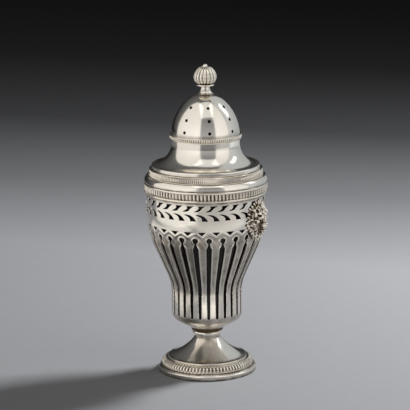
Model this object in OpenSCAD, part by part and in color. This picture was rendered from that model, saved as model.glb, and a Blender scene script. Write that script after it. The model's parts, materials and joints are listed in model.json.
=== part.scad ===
// Sugar caster: a pierced silver vase on a round foot, with a glass liner and a lift-off pierced cover.
// Millimetres, +Z up, origin at the middle of the underside of the foot, lion masks on the X axis.

/* [Foot] */
// Diameter over the foot rim
foot_d = 61; // [56:0.5:68]
// Height of the upright edge of the foot rim
foot_edge_h = 2.5; // [1.8:0.1:3.4]
// Height of the sloping shoulder inside that edge
foot_slope_h = 1.7; // [1.2:0.1:2.4]
// Width of the sloping shoulder
foot_slope_w = 1.8; // [1.2:0.1:2.4]
// Radius of the quarter-round gadroon band on the foot
foot_ovolo_r = 3.4; // [2.8:0.1:4]
// Number of gadroons round the foot
foot_gadroons = 80; // [60:1:90]
// Height of the plain wire above the foot gadroons
foot_wire_h = 1.3; // [0.9:0.1:1.8]
// How far each foot moulding steps in from the one below
foot_step = 0.7; // [0.5:0.1:1]
// Height of the trumpet-shaped stem
trumpet_h = 12.2; // [10:0.1:14]
// Radius of the stem at its top
trumpet_top_r = 7.6; // [7:0.1:8.4]
// Radius of the hollow curve of the stem
trumpet_curve_r = 32; // [26:1:60]

/* [Collar under the body] */
// Radius of the collar's neck
collar_neck_r = 7; // [6.2:0.1:7.2]
// Height of the collar's neck
collar_neck_h = 1; // [0.8:0.1:2]
// Radius over the round bead of the collar
collar_bead_r = 9.3; // [8.8:0.1:9.8]
// Height of the round bead
collar_bead_h = 2.6; // [2:0.1:3]
// Radius of the disc that carries the body
collar_disc_r = 9.9; // [9.6:0.1:10.6]
// Thickness of that disc
collar_disc_h = 2.6; // [2.2:0.1:3]

/* [Body] */
// Thickness of the sheet metal
sheet = 0.9; // [0.7:0.05:1.1]
// Thickness of the bottom of the body
body_floor = 1.2; // [1:0.1:1.6]
// Outside radius of the upright drum at the top of the body
drum_r = 36.9; // [35.5:0.1:38]
// Height of the upright drum
drum_h = 19; // [17.5:0.5:22]
// Height over which the body narrows from drum to waist
flare_h = 50.5; // [47:0.5:55]
// Radius of the rounded shoulder below the drum
shoulder_r = 55.7; // [48:0.5:60]
// Radius of the hollow sweep above the waist
sweep_r = 26; // [20:0.5:30]
// Outside radius of the waist
waist_r = 22.2; // [21.6:0.05:22.8]
// Height of the upright waist
waist_h = 13.2; // [11:0.1:15]
// Height from the bottom of the body to the waist
bowl_h = 10.2; // [9.8:0.1:10.6]
// Radius of the rounded bowl below the waist
bowl_r = 6.5; // [6:0.1:7.5]
// Slope of the bowl's cone from upright, degrees
bowl_slope = 60; // [57:0.5:61]

/* [Piercing] */
// Number of keyhole slots round the body
slots = 26; // [20:1:27]
// Diameter of the round head of a slot
slot_head_d = 3.6; // [3:0.1:3.9]
// Distance of the slot heads below the drum
slot_head_drop = 11.5; // [10.8:0.1:13]
// Width of the throat below the head
slot_throat_w = 1.4; // [1.2:0.05:1.8]
// Greatest width of a slot below its throat
slot_w = 3.5; // [2.8:0.05:3.8]
// Width of a slot at its lower end
slot_end_w = 1.7; // [1.4:0.05:2]
// Distance the slots run below the waist
slot_end_drop = 0.9; // [0.6:0.1:1.6]
// Width of the triangles above the slots
triangle_w = 5; // [4:0.1:5.4]
// Depth of the triangles
triangle_h = 2.2; // [1.6:0.1:2.4]
// Distance of the triangles' upper edge below the drum
triangle_drop = 5.9; // [5.5:0.1:6.5]
// Number of leaves in the garland
leaves = 32; // [26:1:33]
// Height of the upper row of gaps between leaves
leaf_upper_h = 3.9; // [3.4:0.1:4.2]
// Height of the lower row of gaps between leaves
leaf_lower_h = 4.4; // [3.8:0.1:4.6]
// Height of the stem between the two rows
leaf_stem_h = 1.3; // [1:0.1:1.8]
// Distance of the garland's lower edge above the foot of the drum
garland_rise = 1.1; // [0.8:0.1:1.6]

/* [Body mouldings] */
// Height of the gadroon band
band_h = 6.3; // [5.4:0.1:7]
// How far the gadroon band stands out from the drum
band_w = 1.5; // [1.2:0.1:1.9]
// Height of the plain fillets that edge the band
band_fillet_h = 1; // [0.8:0.1:1.3]
// Number of gadroons round the body
band_gadroons = 104; // [80:1:110]
// Height of the rounded rim
rim_h = 4.1; // [3.6:0.1:4.8]
// Radius of the rim's rounding
rim_curve_r = 5; // [4.4:0.1:8]
// How far the mouth lies inside the outside of the drum
mouth_in = 2.5; // [2.3:0.1:3.3]
// How far the rim stands out from the drum at its foot
rim_w = 1.4; // [1.1:0.1:1.8]

/* [Lion masks] */
// Height of a mask
mask_h = 27; // [23:0.5:29]
// Width of a mask
mask_w = 21; // [18:0.5:23]
// How far a mask stands out from the body
mask_depth = 8.6; // [7:0.2:10.4]
// Distance of a mask's middle below the foot of the drum
mask_drop = 3; // [2:0.2:4]

/* [Liner] */
// Wall of the glass liner
glass_wall = 1.8; // [1.4:0.1:2.4]
// Thickness of the bottom of the liner
glass_floor = 3; // [2:0.2:4]
// Room between the liner and the body
liner_gap = 0.6; // [0.5:0.05:0.8]
// Room between the liner and the mouth of the body
liner_mouth_gap = 0.4; // [0.35:0.05:0.6]
// Distance of the liner's edge below the cover's bezel
liner_drop = 1; // [0.6:0.1:2]

/* [Cover] */
// Depth of the bezel that enters the body
bezel_h = 7.4; // [5.5:0.1:8]
// Room between the bezel and the mouth of the body
bezel_gap = 0.3; // [0.3:0.05:0.5]
// Gap between the cover and the rim it stands on
cover_seat_gap = 0.1; // [0.1:0.05:0.3]
// How far the fine bead band reaches past the mouth at its lower edge
bead_band_out = 1.2; // [0.8:0.1:1.8]
// Taper of the fine bead band from its lower to its upper edge
bead_band_taper = 0.4; // [0.2:0.1:0.6]
// Height of the fine bead band
bead_band_h = 4.3; // [3.6:0.1:5]
// Number of fine beads
fine_beads = 180; // [150:1:190]
// Height of the step moulding
step_h = 2.6; // [2:0.1:3.2]
// How far the step moulding is set in from the bead band
step_in = 2; // [1.6:0.1:2.4]
// Radius of the rounding on the step moulding
step_round_r = 0.8; // [0.5:0.1:1]
// Distance of the skirt's edge inside the step moulding
skirt_in = 1.1; // [1:0.1:1.4]
// Radius of the skirt's hollow curve
skirt_curve_r = 13; // [12:0.5:16]
// Height of the skirt
skirt_h = 17.3; // [16.4:0.1:18.4]
// Radius of the dome at its foot
dome_r = 21.3; // [20.8:0.1:21.8]
// Height of the dome
dome_h = 26.1; // [25.6:0.1:26.4]
// Radius of the dome's side
dome_side_r = 30.5; // [29.5:0.5:34]
// Radius of the dome's crown
dome_crown_r = 17.5; // [17:0.1:18.5]
// Height at which side and crown meet
dome_side_h = 21.6; // [21:0.1:22.5]
// Thickness of the top of the dome under the finial
dome_top_t = 1.2; // [1:0.1:1.6]
// Height of the lowest row of sprinkling holes above the foot of the dome
hole_row_z = 4.8; // [4:0.1:5.6]
// Distance between the rows, measured upright
hole_row_pitch = 7.3; // [6.8:0.1:7.6]
// Number of rows
hole_rows = 3; // [1:1:3]
// Number of columns of sprinkling holes
hole_columns = 8; // [6:1:12]
// Turn of the columns from the axis of the masks, degrees
hole_turn = -6; // [-22:1:22]
// Diameter of a sprinkling hole
hole_d = 1.8; // [1.4:0.1:2.4]
// Height of the beaded ring round the foot of the dome
ring_h = 3.4; // [3:0.1:4]
// How far the beaded ring stands out
ring_w = 1.2; // [1:0.1:1.5]
// Number of beads on the ring
ring_beads = 96; // [72:1:104]

/* [Finial] */
// Radius of the finial's foot
finial_foot_r = 5.2; // [5:0.1:5.6]
// Height of the finial's foot
finial_foot_h = 0.9; // [0.7:0.1:1.2]
// Radius of the finial's neck
finial_neck_r = 2.9; // [2.7:0.1:3.1]
// Height of the neck
finial_neck_h = 4.2; // [3.8:0.1:4.6]
// Radius of the plate under the ball
finial_plate_r = 5.7; // [5.4:0.1:6.2]
// Thickness of that plate
finial_plate_h = 1; // [0.8:0.1:1.4]
// Radius of the lobed ball
ball_r = 7.2; // [6.6:0.1:7.8]
// Height of the lobed ball
ball_h = 11; // [10:0.1:12]
// Number of lobes on the ball
ball_lobes = 18; // [12:1:20]
// Radius of the small bud on top
bud_r = 1.6; // [1.3:0.1:2]
// Radius of the stud that holds the finial
stud_r = 1.25; // [1:0.05:1.5]
// How far the stud enters the ball
stud_in = 5; // [3:0.5:6]
// Thickness of the nut under the dome
nut_h = 2.4; // [1.8:0.1:3]
// Width across the nut's corners
nut_d = 6.6; // [5.6:0.2:8]

/* [Hidden] */
$fn = 96;
// Gap left between soldered pieces with curved faces
seat_gap = 0.05;
// Room round the stud in its holes
stud_gap = 0.1;
// Overlap of a cutting shape past the face it opens
past = 1;
// How far inside the waist the piercing cuts begin
pierce_in = 4.5;
// Turn of the upper and of the lower row of leaf gaps, as shares of their pitch
upper_leaf_turn = 0.15;
lower_leaf_turn = 0.47;
// Share of the flare's room that its two curves may fill
curve_share = 0.98;
// Width of a groove between gadroons or beads, as a share of half their pitch
groove_share = 0.8;
// Width of the seats where the cover's mouldings stand on each other
cover_seat_w = 2.7;
silver = "#cfcbc2";
tarnished_silver = "#a89c86";
dark_glass = "#1d1712";

// Heights up the foot
foot_rim_top = foot_edge_h + foot_slope_h;
foot_band_base = 0.5;
foot_band_top = foot_rim_top + foot_band_base + foot_ovolo_r;
foot_wire_top = foot_band_top + foot_wire_h;
trumpet_top = foot_wire_top + trumpet_h;
body_z = trumpet_top + collar_neck_h + collar_bead_h + collar_disc_h;

// Radii in the foot
foot_r = foot_d / 2;
foot_band_r = foot_r - foot_slope_w;
foot_band_top_r = foot_band_r - foot_ovolo_r;
foot_wire_r = foot_band_top_r - foot_step;
trumpet_base_r = foot_wire_r - foot_step;
foot_bore_r = trumpet_base_r - 2 * foot_step;

// Heights up the body
waist_z = body_z + bowl_h;
sweep_z = waist_z + waist_h;
drum_z = sweep_z + flare_h;
drum_top = drum_z + drum_h;
rim_top = drum_top + rim_h;
slot_head_z = drum_z - slot_head_drop;
slot_end_z = waist_z - slot_end_drop;
triangle_z = drum_z - triangle_drop;
garland_z = drum_z + garland_rise;
leaf_stem_z = garland_z + leaf_lower_h;
mask_z = drum_z - mask_drop;

// Radii of the shoulder and the sweep, limited by the room that the flare gives them
flare_in = drum_r - waist_r;
flare_room = curve_share * (pow(flare_h, 2) + pow(flare_in, 2)) / (2 * flare_in);
flare_fit = min(1, flare_room / (shoulder_r + sweep_r));
shoulder_curve_r = shoulder_r * flare_fit;
sweep_curve_r = sweep_r * flare_fit;

// Slope of the body's cone, tangent to the shoulder and to the sweep
curves_r = shoulder_curve_r + sweep_curve_r;
cone_dr = curves_r - flare_in;
cone_slope = atan2(flare_h, cone_dr) - acos(curves_r / norm([cone_dr, flare_h]));

// Heights up the cover
cover_z = rim_top + cover_seat_gap;
bead_band_top = cover_z + bead_band_h;
step_top = bead_band_top + step_h;
dome_z = step_top + skirt_h;
dome_top = dome_z + dome_h;
ring_z = dome_z - ring_h / 2;
finial_foot_top = dome_top + finial_foot_h;
finial_neck_top = finial_foot_top + finial_neck_h;
ball_z = finial_neck_top + finial_plate_h;

// Radii in the cover
mouth_r = drum_r - mouth_in;
bezel_r = mouth_r - bezel_gap;
bead_band_r = mouth_r + bead_band_out;
step_r = bead_band_r - step_in;
skirt_r = step_r - skirt_in;
cover_bore_r = skirt_r - cover_seat_w;
bead_band_bore_r = min(cover_bore_r, bezel_r - sheet - cover_seat_w);

// Centre of the crown's arc, tangent to the arc of the dome's side
side_angle = asin(dome_side_h / dome_side_r);
crown_r0 = dome_r - dome_side_r + (dome_side_r - dome_crown_r) * cos(side_angle);
crown_z0 = dome_z + (dome_side_r - dome_crown_r) * sin(side_angle);

// Outside radius of the drum and of the shoulder below it at height z
function body_radius(z) =
    z >= drum_z
        ? drum_r
        : drum_r - shoulder_curve_r + sqrt(pow(shoulder_curve_r, 2) - pow(drum_z - z, 2));

// Ring of rectangular section
module ring(inner, outer, low, high) {
    translate([inner, low]) square([outer - inner, high - low]);
}

// Points along an arc from one angle to another
function arc(centre, radius, from, to, steps) =
    [for (i = [0:steps])
        let (turn = from + (to - from) * i / steps)
            centre + radius * [cos(turn), sin(turn)]];

// Half section of the body, set in from its outside by inset and standing on the height low
module body_section(inset, low, high) {
    bowl = bowl_r - inset;
    bowl_centre = [waist_r - bowl_r, waist_z];
    cone_h = waist_z - bowl * sin(bowl_slope) - low;
    base_r = bowl_centre.x + bowl * cos(bowl_slope) - cone_h * tan(bowl_slope);
    polygon(concat(
        [[0, low], [base_r, low]],
        arc(bowl_centre, bowl, -bowl_slope, 0, 6),
        arc([waist_r + sweep_curve_r, sweep_z], sweep_curve_r + inset, 180, 180 - cone_slope, 6),
        arc([drum_r - shoulder_curve_r, drum_z], shoulder_curve_r - inset, -cone_slope, 0, 8),
        [[drum_r - inset, high], [0, high]]
    ));
}

// Prism that pierces the body wall at an angle round the axis; its outline is drawn as seen from outside
module pierce(angle, from_r, to_r) {
    rotate([0, 0, angle])
        translate([from_r, 0, 0])
            rotate([90, 0, 90])
                linear_extrude(to_r - from_r) children();
}

// Upright flutes cut round a band
module flutes(count, band_r, flute_r, low, high) {
    for (i = [0:count - 1])
        rotate([0, 0, (i + 0.5) * 360 / count])
            translate([band_r, 0, low]) cylinder(r = flute_r, h = high - low, $fn = 24);
}

// Outline of a keyhole slot with a round head and a tapering tail
module keyhole() {
    throat_z = slot_head_z - slot_head_d / 2 - slot_throat_w / 2;
    widest_z = throat_z - slot_w;
    end_z = slot_end_z + slot_end_w / 2;
    translate([0, slot_head_z]) circle(d = slot_head_d);
    polygon([
        [-slot_throat_w / 2, slot_head_z],
        [-slot_throat_w / 2, throat_z],
        [-slot_w / 2, widest_z],
        [-slot_end_w / 2, end_z],
        [slot_end_w / 2, end_z],
        [slot_w / 2, widest_z],
        [slot_throat_w / 2, throat_z],
        [slot_throat_w / 2, slot_head_z]
    ]);
    translate([0, end_z]) circle(d = slot_end_w);
}

// Triangle, point down, above a stave
module triangle() {
    polygon([
        [-triangle_w / 2, triangle_z],
        [triangle_w / 2, triangle_z],
        [0, triangle_z - triangle_h]
    ]);
}

// Gap between two leaves above the stem, leaning to the right
module upper_leaf_gap() {
    h = leaf_upper_h;
    translate([0, leaf_stem_z + leaf_stem_h])
        polygon([
            [-0.44 * h, 0.03 * h],
            [0.19 * h, 0],
            [0.38 * h, 0.31 * h],
            [0.69 * h, 0.5 * h],
            [1.31 * h, h],
            [0, 0.92 * h],
            [0.19 * h, 0.69 * h],
            [0.13 * h, 0.5 * h],
            [-0.25 * h, 0.25 * h]
        ]);
}

// Gap between two leaves below the stem, leaning the other way
module lower_leaf_gap() {
    h = leaf_lower_h;
    translate([0, leaf_stem_z])
        polygon([
            [-h, -0.05 * h],
            [-0.25 * h, -0.05 * h],
            [0.2 * h, -0.3 * h],
            [0.85 * h, -h],
            [0, -h],
            [0.05 * h, -0.65 * h],
            [-0.25 * h, -0.3 * h],
            [-h, -0.18 * h]
        ]);
}

module foot_rim() {
    color(silver)
        rotate_extrude()
            polygon([
                [foot_band_top_r, 0],
                [foot_r, 0],
                [foot_r, foot_edge_h],
                [foot_band_r, foot_rim_top],
                [foot_band_top_r, foot_rim_top]
            ]);
}

module foot_gadroon_band() {
    ovolo_z = foot_rim_top + foot_band_base;
    groove_r = groove_share * PI * foot_band_top_r / foot_gadroons / 2;
    middle_r = foot_band_top_r + foot_ovolo_r * cos(45);
    middle_z = ovolo_z + foot_ovolo_r * sin(45);
    color(tarnished_silver)
        difference() {
            rotate_extrude() {
                ring(foot_bore_r, foot_band_r, foot_rim_top, ovolo_z);
                ring(foot_bore_r, foot_band_top_r, ovolo_z, foot_band_top);
                intersection() {
                    translate([foot_band_top_r, ovolo_z]) circle(foot_ovolo_r);
                    ring(foot_band_top_r, foot_band_r, ovolo_z, foot_band_top);
                }
            }
            for (i = [0:foot_gadroons - 1])
                rotate([0, 0, i * 360 / foot_gadroons])
                    translate([middle_r, 0, middle_z])
                        rotate([0, -45, 0])
                            cylinder(r = groove_r, h = 2 * foot_ovolo_r, center = true, $fn = 24);
        }
}

module foot_wire() {
    round_r = foot_wire_h / 2;
    color(silver)
        rotate_extrude() {
            ring(foot_bore_r, foot_wire_r - round_r, foot_band_top, foot_wire_top);
            translate([foot_wire_r - round_r, foot_band_top + round_r]) circle(round_r);
        }
}

// Hollow trumpet curve through the stem's base and top, moved in by inset
module trumpet_section(inset) {
    base = [trumpet_base_r, foot_wire_top];
    top = [trumpet_top_r, trumpet_top];
    chord = norm(top - base);
    rise = sqrt(pow(trumpet_curve_r, 2) - pow(chord / 2, 2));
    across = [top.y - base.y, base.x - top.x] / chord;
    centre = (base + top) / 2 + rise * across;
    difference() {
        ring(0, base.x + past, base.y, top.y);
        translate(centre) circle(trumpet_curve_r + inset);
    }
}

module foot_trumpet() {
    color(silver)
        rotate_extrude()
            difference() {
                trumpet_section(0);
                trumpet_section(sheet);
            }
}

module foot_collar() {
    bead = collar_bead_h / 2;
    neck_top = trumpet_top + collar_neck_h;
    disc_low = neck_top + collar_bead_h;
    foot_h = 0.6;
    color(silver)
        rotate_extrude() {
            ring(0, trumpet_top_r, trumpet_top, trumpet_top + foot_h);
            ring(0, collar_neck_r, trumpet_top + foot_h, neck_top);
            ring(0, collar_bead_r - bead, neck_top, disc_low);
            translate([collar_bead_r - bead, neck_top + bead]) circle(bead);
            ring(0, collar_disc_r, disc_low, body_z);
        }
}

module pierced_body() {
    cut_from = waist_r - pierce_in;
    cut_to = drum_r + past;
    slot_pitch = 360 / slots;
    leaf_pitch = 360 / leaves;
    color(silver)
        difference() {
            rotate_extrude()
                difference() {
                    body_section(0, body_z, drum_top);
                    body_section(sheet, body_z + body_floor, drum_top + past);
                }
            for (i = [0:slots - 1]) {
                pierce(i * slot_pitch, cut_from, cut_to) keyhole();
                pierce((i + 0.5) * slot_pitch, cut_from, cut_to) triangle();
            }
            for (i = [0:leaves - 1]) {
                pierce((i + upper_leaf_turn) * leaf_pitch, cut_from, cut_to) upper_leaf_gap();
                pierce((i + lower_leaf_turn) * leaf_pitch, cut_from, cut_to) lower_leaf_gap();
            }
        }
}

module body_gadroon_band() {
    low = drum_top - band_h;
    outer = drum_r + band_w;
    flute_r = groove_share * PI * outer / band_gadroons / 2;
    color(tarnished_silver)
        difference() {
            rotate_extrude() ring(drum_r + seat_gap, outer, low, drum_top);
            flutes(band_gadroons, outer, flute_r, low + band_fillet_h, drum_top - band_fillet_h);
        }
}

module body_rim() {
    outer = drum_r + rim_w;
    base_h = 0.7;
    color(silver)
        rotate_extrude() {
            ring(mouth_r, outer, drum_top, drum_top + base_h);
            intersection() {
                ring(mouth_r, outer, drum_top + base_h, rim_top);
                translate([outer - rim_curve_r, drum_top + base_h]) circle(rim_curve_r);
            }
        }
}

// Lumps of the lion's face as [side, height, spread across, spread up, height of relief], all shares of the mask
mask_lumps = [
    [0, -0.14, 0.34, 0.2, 0.36],
    [0.17, -0.26, 0.16, 0.13, 0.12],
    [0, 0.12, 0.16, 0.22, 0.14],
    [0.3, 0.26, 0.2, 0.1, 0.12],
    [0.32, 0.1, 0.12, 0.08, -0.1],
    [0, -0.42, 0.26, 0.06, -0.16],
    [0, -0.56, 0.24, 0.1, 0.12],
    [0.62, 0.36, 0.16, 0.13, 0.14],
    [0, 0.6, 0.3, 0.16, 0.12]
];
mask_rings = 11;
mask_spokes = 30;
mask_back_rings = 4;
mask_curls = 10;
mask_edge_share = 0.08;
mask_swell_share = 0.46;
mask_beard_taper = 0.42;

// Relief of a mask, as a share of its depth, at a place given in half widths and half heights
function mask_relief(u, v) =
    let (out = min(1, norm([u, v])), turn = atan2(v, u))
        mask_edge_share + mask_swell_share * sqrt(1 - out * out)
            + 0.07 * sin(180 * out) * sin(turn * mask_curls) * out
            + [for (m = mask_lumps)
                m[4] * exp(-pow((abs(u) - m[0]) / m[2], 2) - pow((v - m[1]) / m[3], 2))]
              * [for (m = mask_lumps) 1];

// Point of a mask at a share out from its middle along a spoke; relief lifts it from the body
function mask_point(out, spoke, raised) =
    let (
        turn = spoke * 360 / mask_spokes,
        u = out * cos(turn),
        v = out * sin(turn),
        across = u * mask_w / 2 * (1 - mask_beard_taper * pow(min(0, v), 2)),
        z = mask_z + v * mask_h / 2,
        back = sqrt(pow(body_radius(z) + seat_gap, 2) - across * across)
    )
        [back + (raised ? mask_depth * mask_relief(u, v) : 0), across, z];

// Triangles of a disc of rings and spokes whose middle is point first and whose rings follow it
function disc_faces(first, rings) = concat(
    [for (s = [0:mask_spokes - 1])
        [first, first + 1 + s, first + 1 + (s + 1) % mask_spokes]],
    [for (r = [0:rings - 2], s = [0:mask_spokes - 1], half = [0, 1])
        let (
            a = first + 1 + r * mask_spokes + s,
            b = first + 1 + r * mask_spokes + (s + 1) % mask_spokes
        )
            half == 0 ? [a, a + mask_spokes, b + mask_spokes] : [a, b + mask_spokes, b]]
);

function turned(faces) = [for (f = faces) [f[2], f[1], f[0]]];

module lion_mask() {
    front = [for (r = [1:mask_rings], s = [0:mask_spokes - 1]) mask_point(r / mask_rings, s, true)];
    back = [for (r = [1:mask_back_rings], s = [0:mask_spokes - 1])
        mask_point(r / mask_back_rings, s, false)];
    back_first = 1 + len(front);
    front_edge = 1 + (mask_rings - 1) * mask_spokes;
    back_edge = back_first + 1 + (mask_back_rings - 1) * mask_spokes;
    side = [for (s = [0:mask_spokes - 1], half = [0, 1])
        let (n = (s + 1) % mask_spokes)
            half == 0 ? [front_edge + s, back_edge + s, back_edge + n]
                : [front_edge + s, back_edge + n, front_edge + n]];
    polyhedron(
        points = concat([mask_point(0, 0, true)], front, [mask_point(0, 0, false)], back),
        faces = turned(concat(disc_faces(0, mask_rings), turned(disc_faces(back_first, mask_back_rings)), side))
    );
}

module lion_mask_right() {
    color(tarnished_silver) lion_mask();
}

module lion_mask_left() {
    color(tarnished_silver) rotate([0, 0, 180]) lion_mask();
}

module glass_liner() {
    low = body_z + body_floor;
    top = cover_z - bezel_h - liner_drop;
    outside = sheet + liner_gap;
    liner_r = mouth_r - liner_mouth_gap;
    color(dark_glass)
        rotate_extrude()
            difference() {
                intersection() {
                    body_section(outside, low, top);
                    ring(0, liner_r, low, top);
                }
                intersection() {
                    body_section(outside + glass_wall, low + glass_floor, top + past);
                    ring(0, liner_r - glass_wall, low + glass_floor, top + past);
                }
            }
}

module cover_bezel() {
    color(silver)
        rotate_extrude() ring(bezel_r - sheet, bezel_r, cover_z - bezel_h, cover_z);
}

module cover_bead_band() {
    edge_h = 0.5;
    flute_r = groove_share * PI * bead_band_r / fine_beads / 2;
    color(tarnished_silver)
        difference() {
            rotate_extrude()
                polygon([
                    [bead_band_bore_r, cover_z],
                    [bead_band_r, cover_z],
                    [bead_band_r - bead_band_taper, bead_band_top],
                    [bead_band_bore_r, bead_band_top]
                ]);
            flutes(
                fine_beads,
                bead_band_r - bead_band_taper / 2,
                flute_r,
                cover_z + edge_h,
                bead_band_top - edge_h
            );
        }
}

module cover_rim() {
    color(silver)
        rotate_extrude() {
            ring(cover_bore_r, step_r, bead_band_top, step_top - step_round_r);
            ring(cover_bore_r, step_r - step_round_r, step_top - step_round_r, step_top);
            translate([step_r - step_round_r, step_top - step_round_r]) circle(step_round_r);
        }
}

// Half section of the skirt, flaring down in a hollow curve, moved in by inset
module skirt_section(inset) {
    flare = skirt_r - dome_r;
    curve_r = max(skirt_curve_r, flare);
    curve_x = dome_r + curve_r;
    curve_z = step_top + sqrt(pow(curve_r, 2) - pow(curve_r - flare, 2));
    polygon(concat(
        [[0, step_top]],
        arc([curve_x, curve_z], curve_r + inset, 180 + acos((curve_r - flare) / curve_r), 180, 8),
        [[dome_r - inset, dome_z], [0, dome_z]]
    ));
}

module cover_skirt() {
    color(silver)
        rotate_extrude()
            difference() {
                skirt_section(0);
                skirt_section(sheet);
            }
}

module cover_mid_ring() {
    inner = dome_r + seat_gap;
    outer = dome_r + ring_w;
    fillet_h = 0.7;
    fillet_r = outer - 0.5;
    flute_r = groove_share * PI * outer / ring_beads / 2;
    color(tarnished_silver)
        difference() {
            rotate_extrude() {
                ring(inner, fillet_r, ring_z, ring_z + ring_h);
                ring(inner, outer, ring_z + fillet_h, ring_z + ring_h - fillet_h);
            }
            flutes(ring_beads, outer, flute_r, ring_z + fillet_h, ring_z + ring_h - fillet_h);
        }
}

// Half section of the dome up to the height high, moved in by inset
module dome_section(inset, high) {
    crown = dome_crown_r - inset;
    polygon(concat(
        [[0, dome_z]],
        arc([dome_r - dome_side_r, dome_z], dome_side_r - inset, 0, side_angle, 5),
        arc([crown_r0, crown_z0], crown, side_angle, asin((high - crown_z0) / crown), 8),
        [[0, high]]
    ));
}

// Sprinkling hole at a height up the dome's side, square to its surface
module dome_hole(height) {
    tilt = asin(height / dome_side_r);
    translate([dome_r - dome_side_r, 0, dome_z])
        rotate([0, 90 - tilt, 0])
            translate([0, 0, dome_side_r - 3 * sheet])
                cylinder(d = hole_d, h = 3 * sheet + past);
}

module cover_dome() {
    color(silver)
        difference() {
            rotate_extrude()
                difference() {
                    dome_section(0, dome_top);
                    dome_section(sheet, dome_top - dome_top_t);
                }
            cylinder(r = stud_r + stud_gap, h = dome_top + past);
            for (i = [0:hole_columns - 1])
                rotate([0, 0, hole_turn + i * 360 / hole_columns])
                    for (row = [0:hole_rows - 1])
                        dome_hole(hole_row_z + row * hole_row_pitch);
        }
}

module finial_neck() {
    hollow_r = finial_neck_h / 2;
    bore_r = stud_r + stud_gap;
    color(silver)
        rotate_extrude()
            difference() {
                union() {
                    ring(bore_r, finial_foot_r, dome_top, finial_foot_top);
                    ring(bore_r, finial_neck_r + hollow_r, finial_foot_top, finial_neck_top);
                    ring(bore_r, finial_plate_r, finial_neck_top, ball_z);
                }
                translate([finial_neck_r + hollow_r, finial_foot_top + hollow_r]) circle(hollow_r);
            }
}

module finial_knob() {
    curve_r = ball_h / 2;
    middle_r = ball_r - curve_r;
    middle_z = ball_z + curve_r;
    groove_r = groove_share * PI * ball_r / ball_lobes / 2;
    groove_span = 124;
    bud_z = ball_z + ball_h;
    color(silver)
        difference() {
            union() {
                rotate_extrude() {
                    ring(0, middle_r, ball_z, ball_z + ball_h);
                    intersection() {
                        translate([middle_r, middle_z]) circle(curve_r);
                        ring(middle_r, ball_r, ball_z, ball_z + ball_h);
                    }
                }
                translate([0, 0, bud_z]) sphere(r = bud_r);
            }
            translate([0, 0, ball_z - past]) cylinder(r = stud_r + stud_gap, h = stud_in + past + stud_gap);
            for (i = [0:ball_lobes - 1])
                rotate([0, 0, i * 360 / ball_lobes])
                    translate([middle_r, 0, middle_z])
                        rotate([90, 0, 0])
                            rotate([0, 0, -groove_span / 2])
                                rotate_extrude(angle = groove_span)
                                    translate([curve_r + groove_r / 2, 0]) circle(groove_r, $fn = 24);
        }
}

module finial_stud() {
    low = dome_top - dome_top_t - nut_h;
    color(silver) translate([0, 0, low]) cylinder(r = stud_r, h = ball_z + stud_in - low);
}

module finial_nut() {
    top = dome_top - dome_top_t;
    color(silver)
        translate([0, 0, top - nut_h])
            difference() {
                cylinder(d = nut_d, h = nut_h, $fn = 6);
                translate([0, 0, -past]) cylinder(r = stud_r + stud_gap, h = nut_h + 2 * past);
            }
}

foot_rim();
foot_gadroon_band();
foot_wire();
foot_trumpet();
foot_collar();
pierced_body();
body_gadroon_band();
body_rim();
lion_mask_right();
lion_mask_left();
glass_liner();
cover_bezel();
cover_bead_band();
cover_rim();
cover_skirt();
cover_mid_ring();
cover_dome();
finial_neck();
finial_knob();
finial_stud();
finial_nut();
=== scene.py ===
import json
import math
import random
import bpy
import numpy as np
from mathutils import Matrix, Vector
from mathutils.geometry import delaunay_2d_cdt
from mathutils.kdtree import KDTree

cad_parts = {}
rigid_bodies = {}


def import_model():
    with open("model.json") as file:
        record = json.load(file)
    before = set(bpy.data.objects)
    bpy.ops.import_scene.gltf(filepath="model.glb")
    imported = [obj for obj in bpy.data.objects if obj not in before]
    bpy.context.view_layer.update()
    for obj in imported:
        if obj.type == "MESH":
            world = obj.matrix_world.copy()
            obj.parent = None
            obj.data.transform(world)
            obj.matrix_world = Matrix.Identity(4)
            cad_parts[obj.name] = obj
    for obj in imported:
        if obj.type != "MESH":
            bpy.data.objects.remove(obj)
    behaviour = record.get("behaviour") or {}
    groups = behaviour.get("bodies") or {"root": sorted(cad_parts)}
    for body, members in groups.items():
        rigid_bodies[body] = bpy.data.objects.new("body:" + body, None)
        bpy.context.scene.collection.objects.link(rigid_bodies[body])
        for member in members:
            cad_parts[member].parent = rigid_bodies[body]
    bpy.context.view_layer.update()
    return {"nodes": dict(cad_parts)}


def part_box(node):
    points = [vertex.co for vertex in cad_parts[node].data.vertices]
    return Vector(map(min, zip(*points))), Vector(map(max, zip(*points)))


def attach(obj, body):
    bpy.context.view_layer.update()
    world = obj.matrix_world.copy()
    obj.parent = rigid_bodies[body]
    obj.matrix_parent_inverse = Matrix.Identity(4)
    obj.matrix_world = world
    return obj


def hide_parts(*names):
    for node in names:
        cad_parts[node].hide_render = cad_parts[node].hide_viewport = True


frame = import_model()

mm = 0.001
print("frame loaded")


def turnedBox(node):  # radius, foot and top of a solid, in millimetres
    low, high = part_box(node)
    return high[0] / mm, low[2] / mm, high[2] / mm


def clearSelection():
    if bpy.context.object and bpy.context.object.mode != "OBJECT":
        bpy.ops.object.mode_set(mode="OBJECT")
    bpy.ops.object.select_all(action="DESELECT")


def pick(pieces):  # the first becomes the active one
    clearSelection()
    for piece in pieces:
        piece.select_set(True)
    bpy.context.view_layer.objects.active = pieces[0]


def joinAll(pieces):
    pick(pieces)
    bpy.ops.object.join()
    return pieces[0]


def ownCopy(piece):
    copy = piece.copy()
    copy.data = piece.data.copy()
    bpy.context.collection.objects.link(copy)
    return copy


def nameBoth(piece, name):
    piece.name = name
    piece.data.name = name


def applyModifier(piece, kind, **settings):
    pick([piece])
    bpy.ops.object.modifier_add(type=kind)
    modifier = piece.modifiers[-1]
    for key, value in settings.items():
        setattr(modifier, key, value)
    bpy.ops.object.modifier_apply(modifier=modifier.name)


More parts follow.
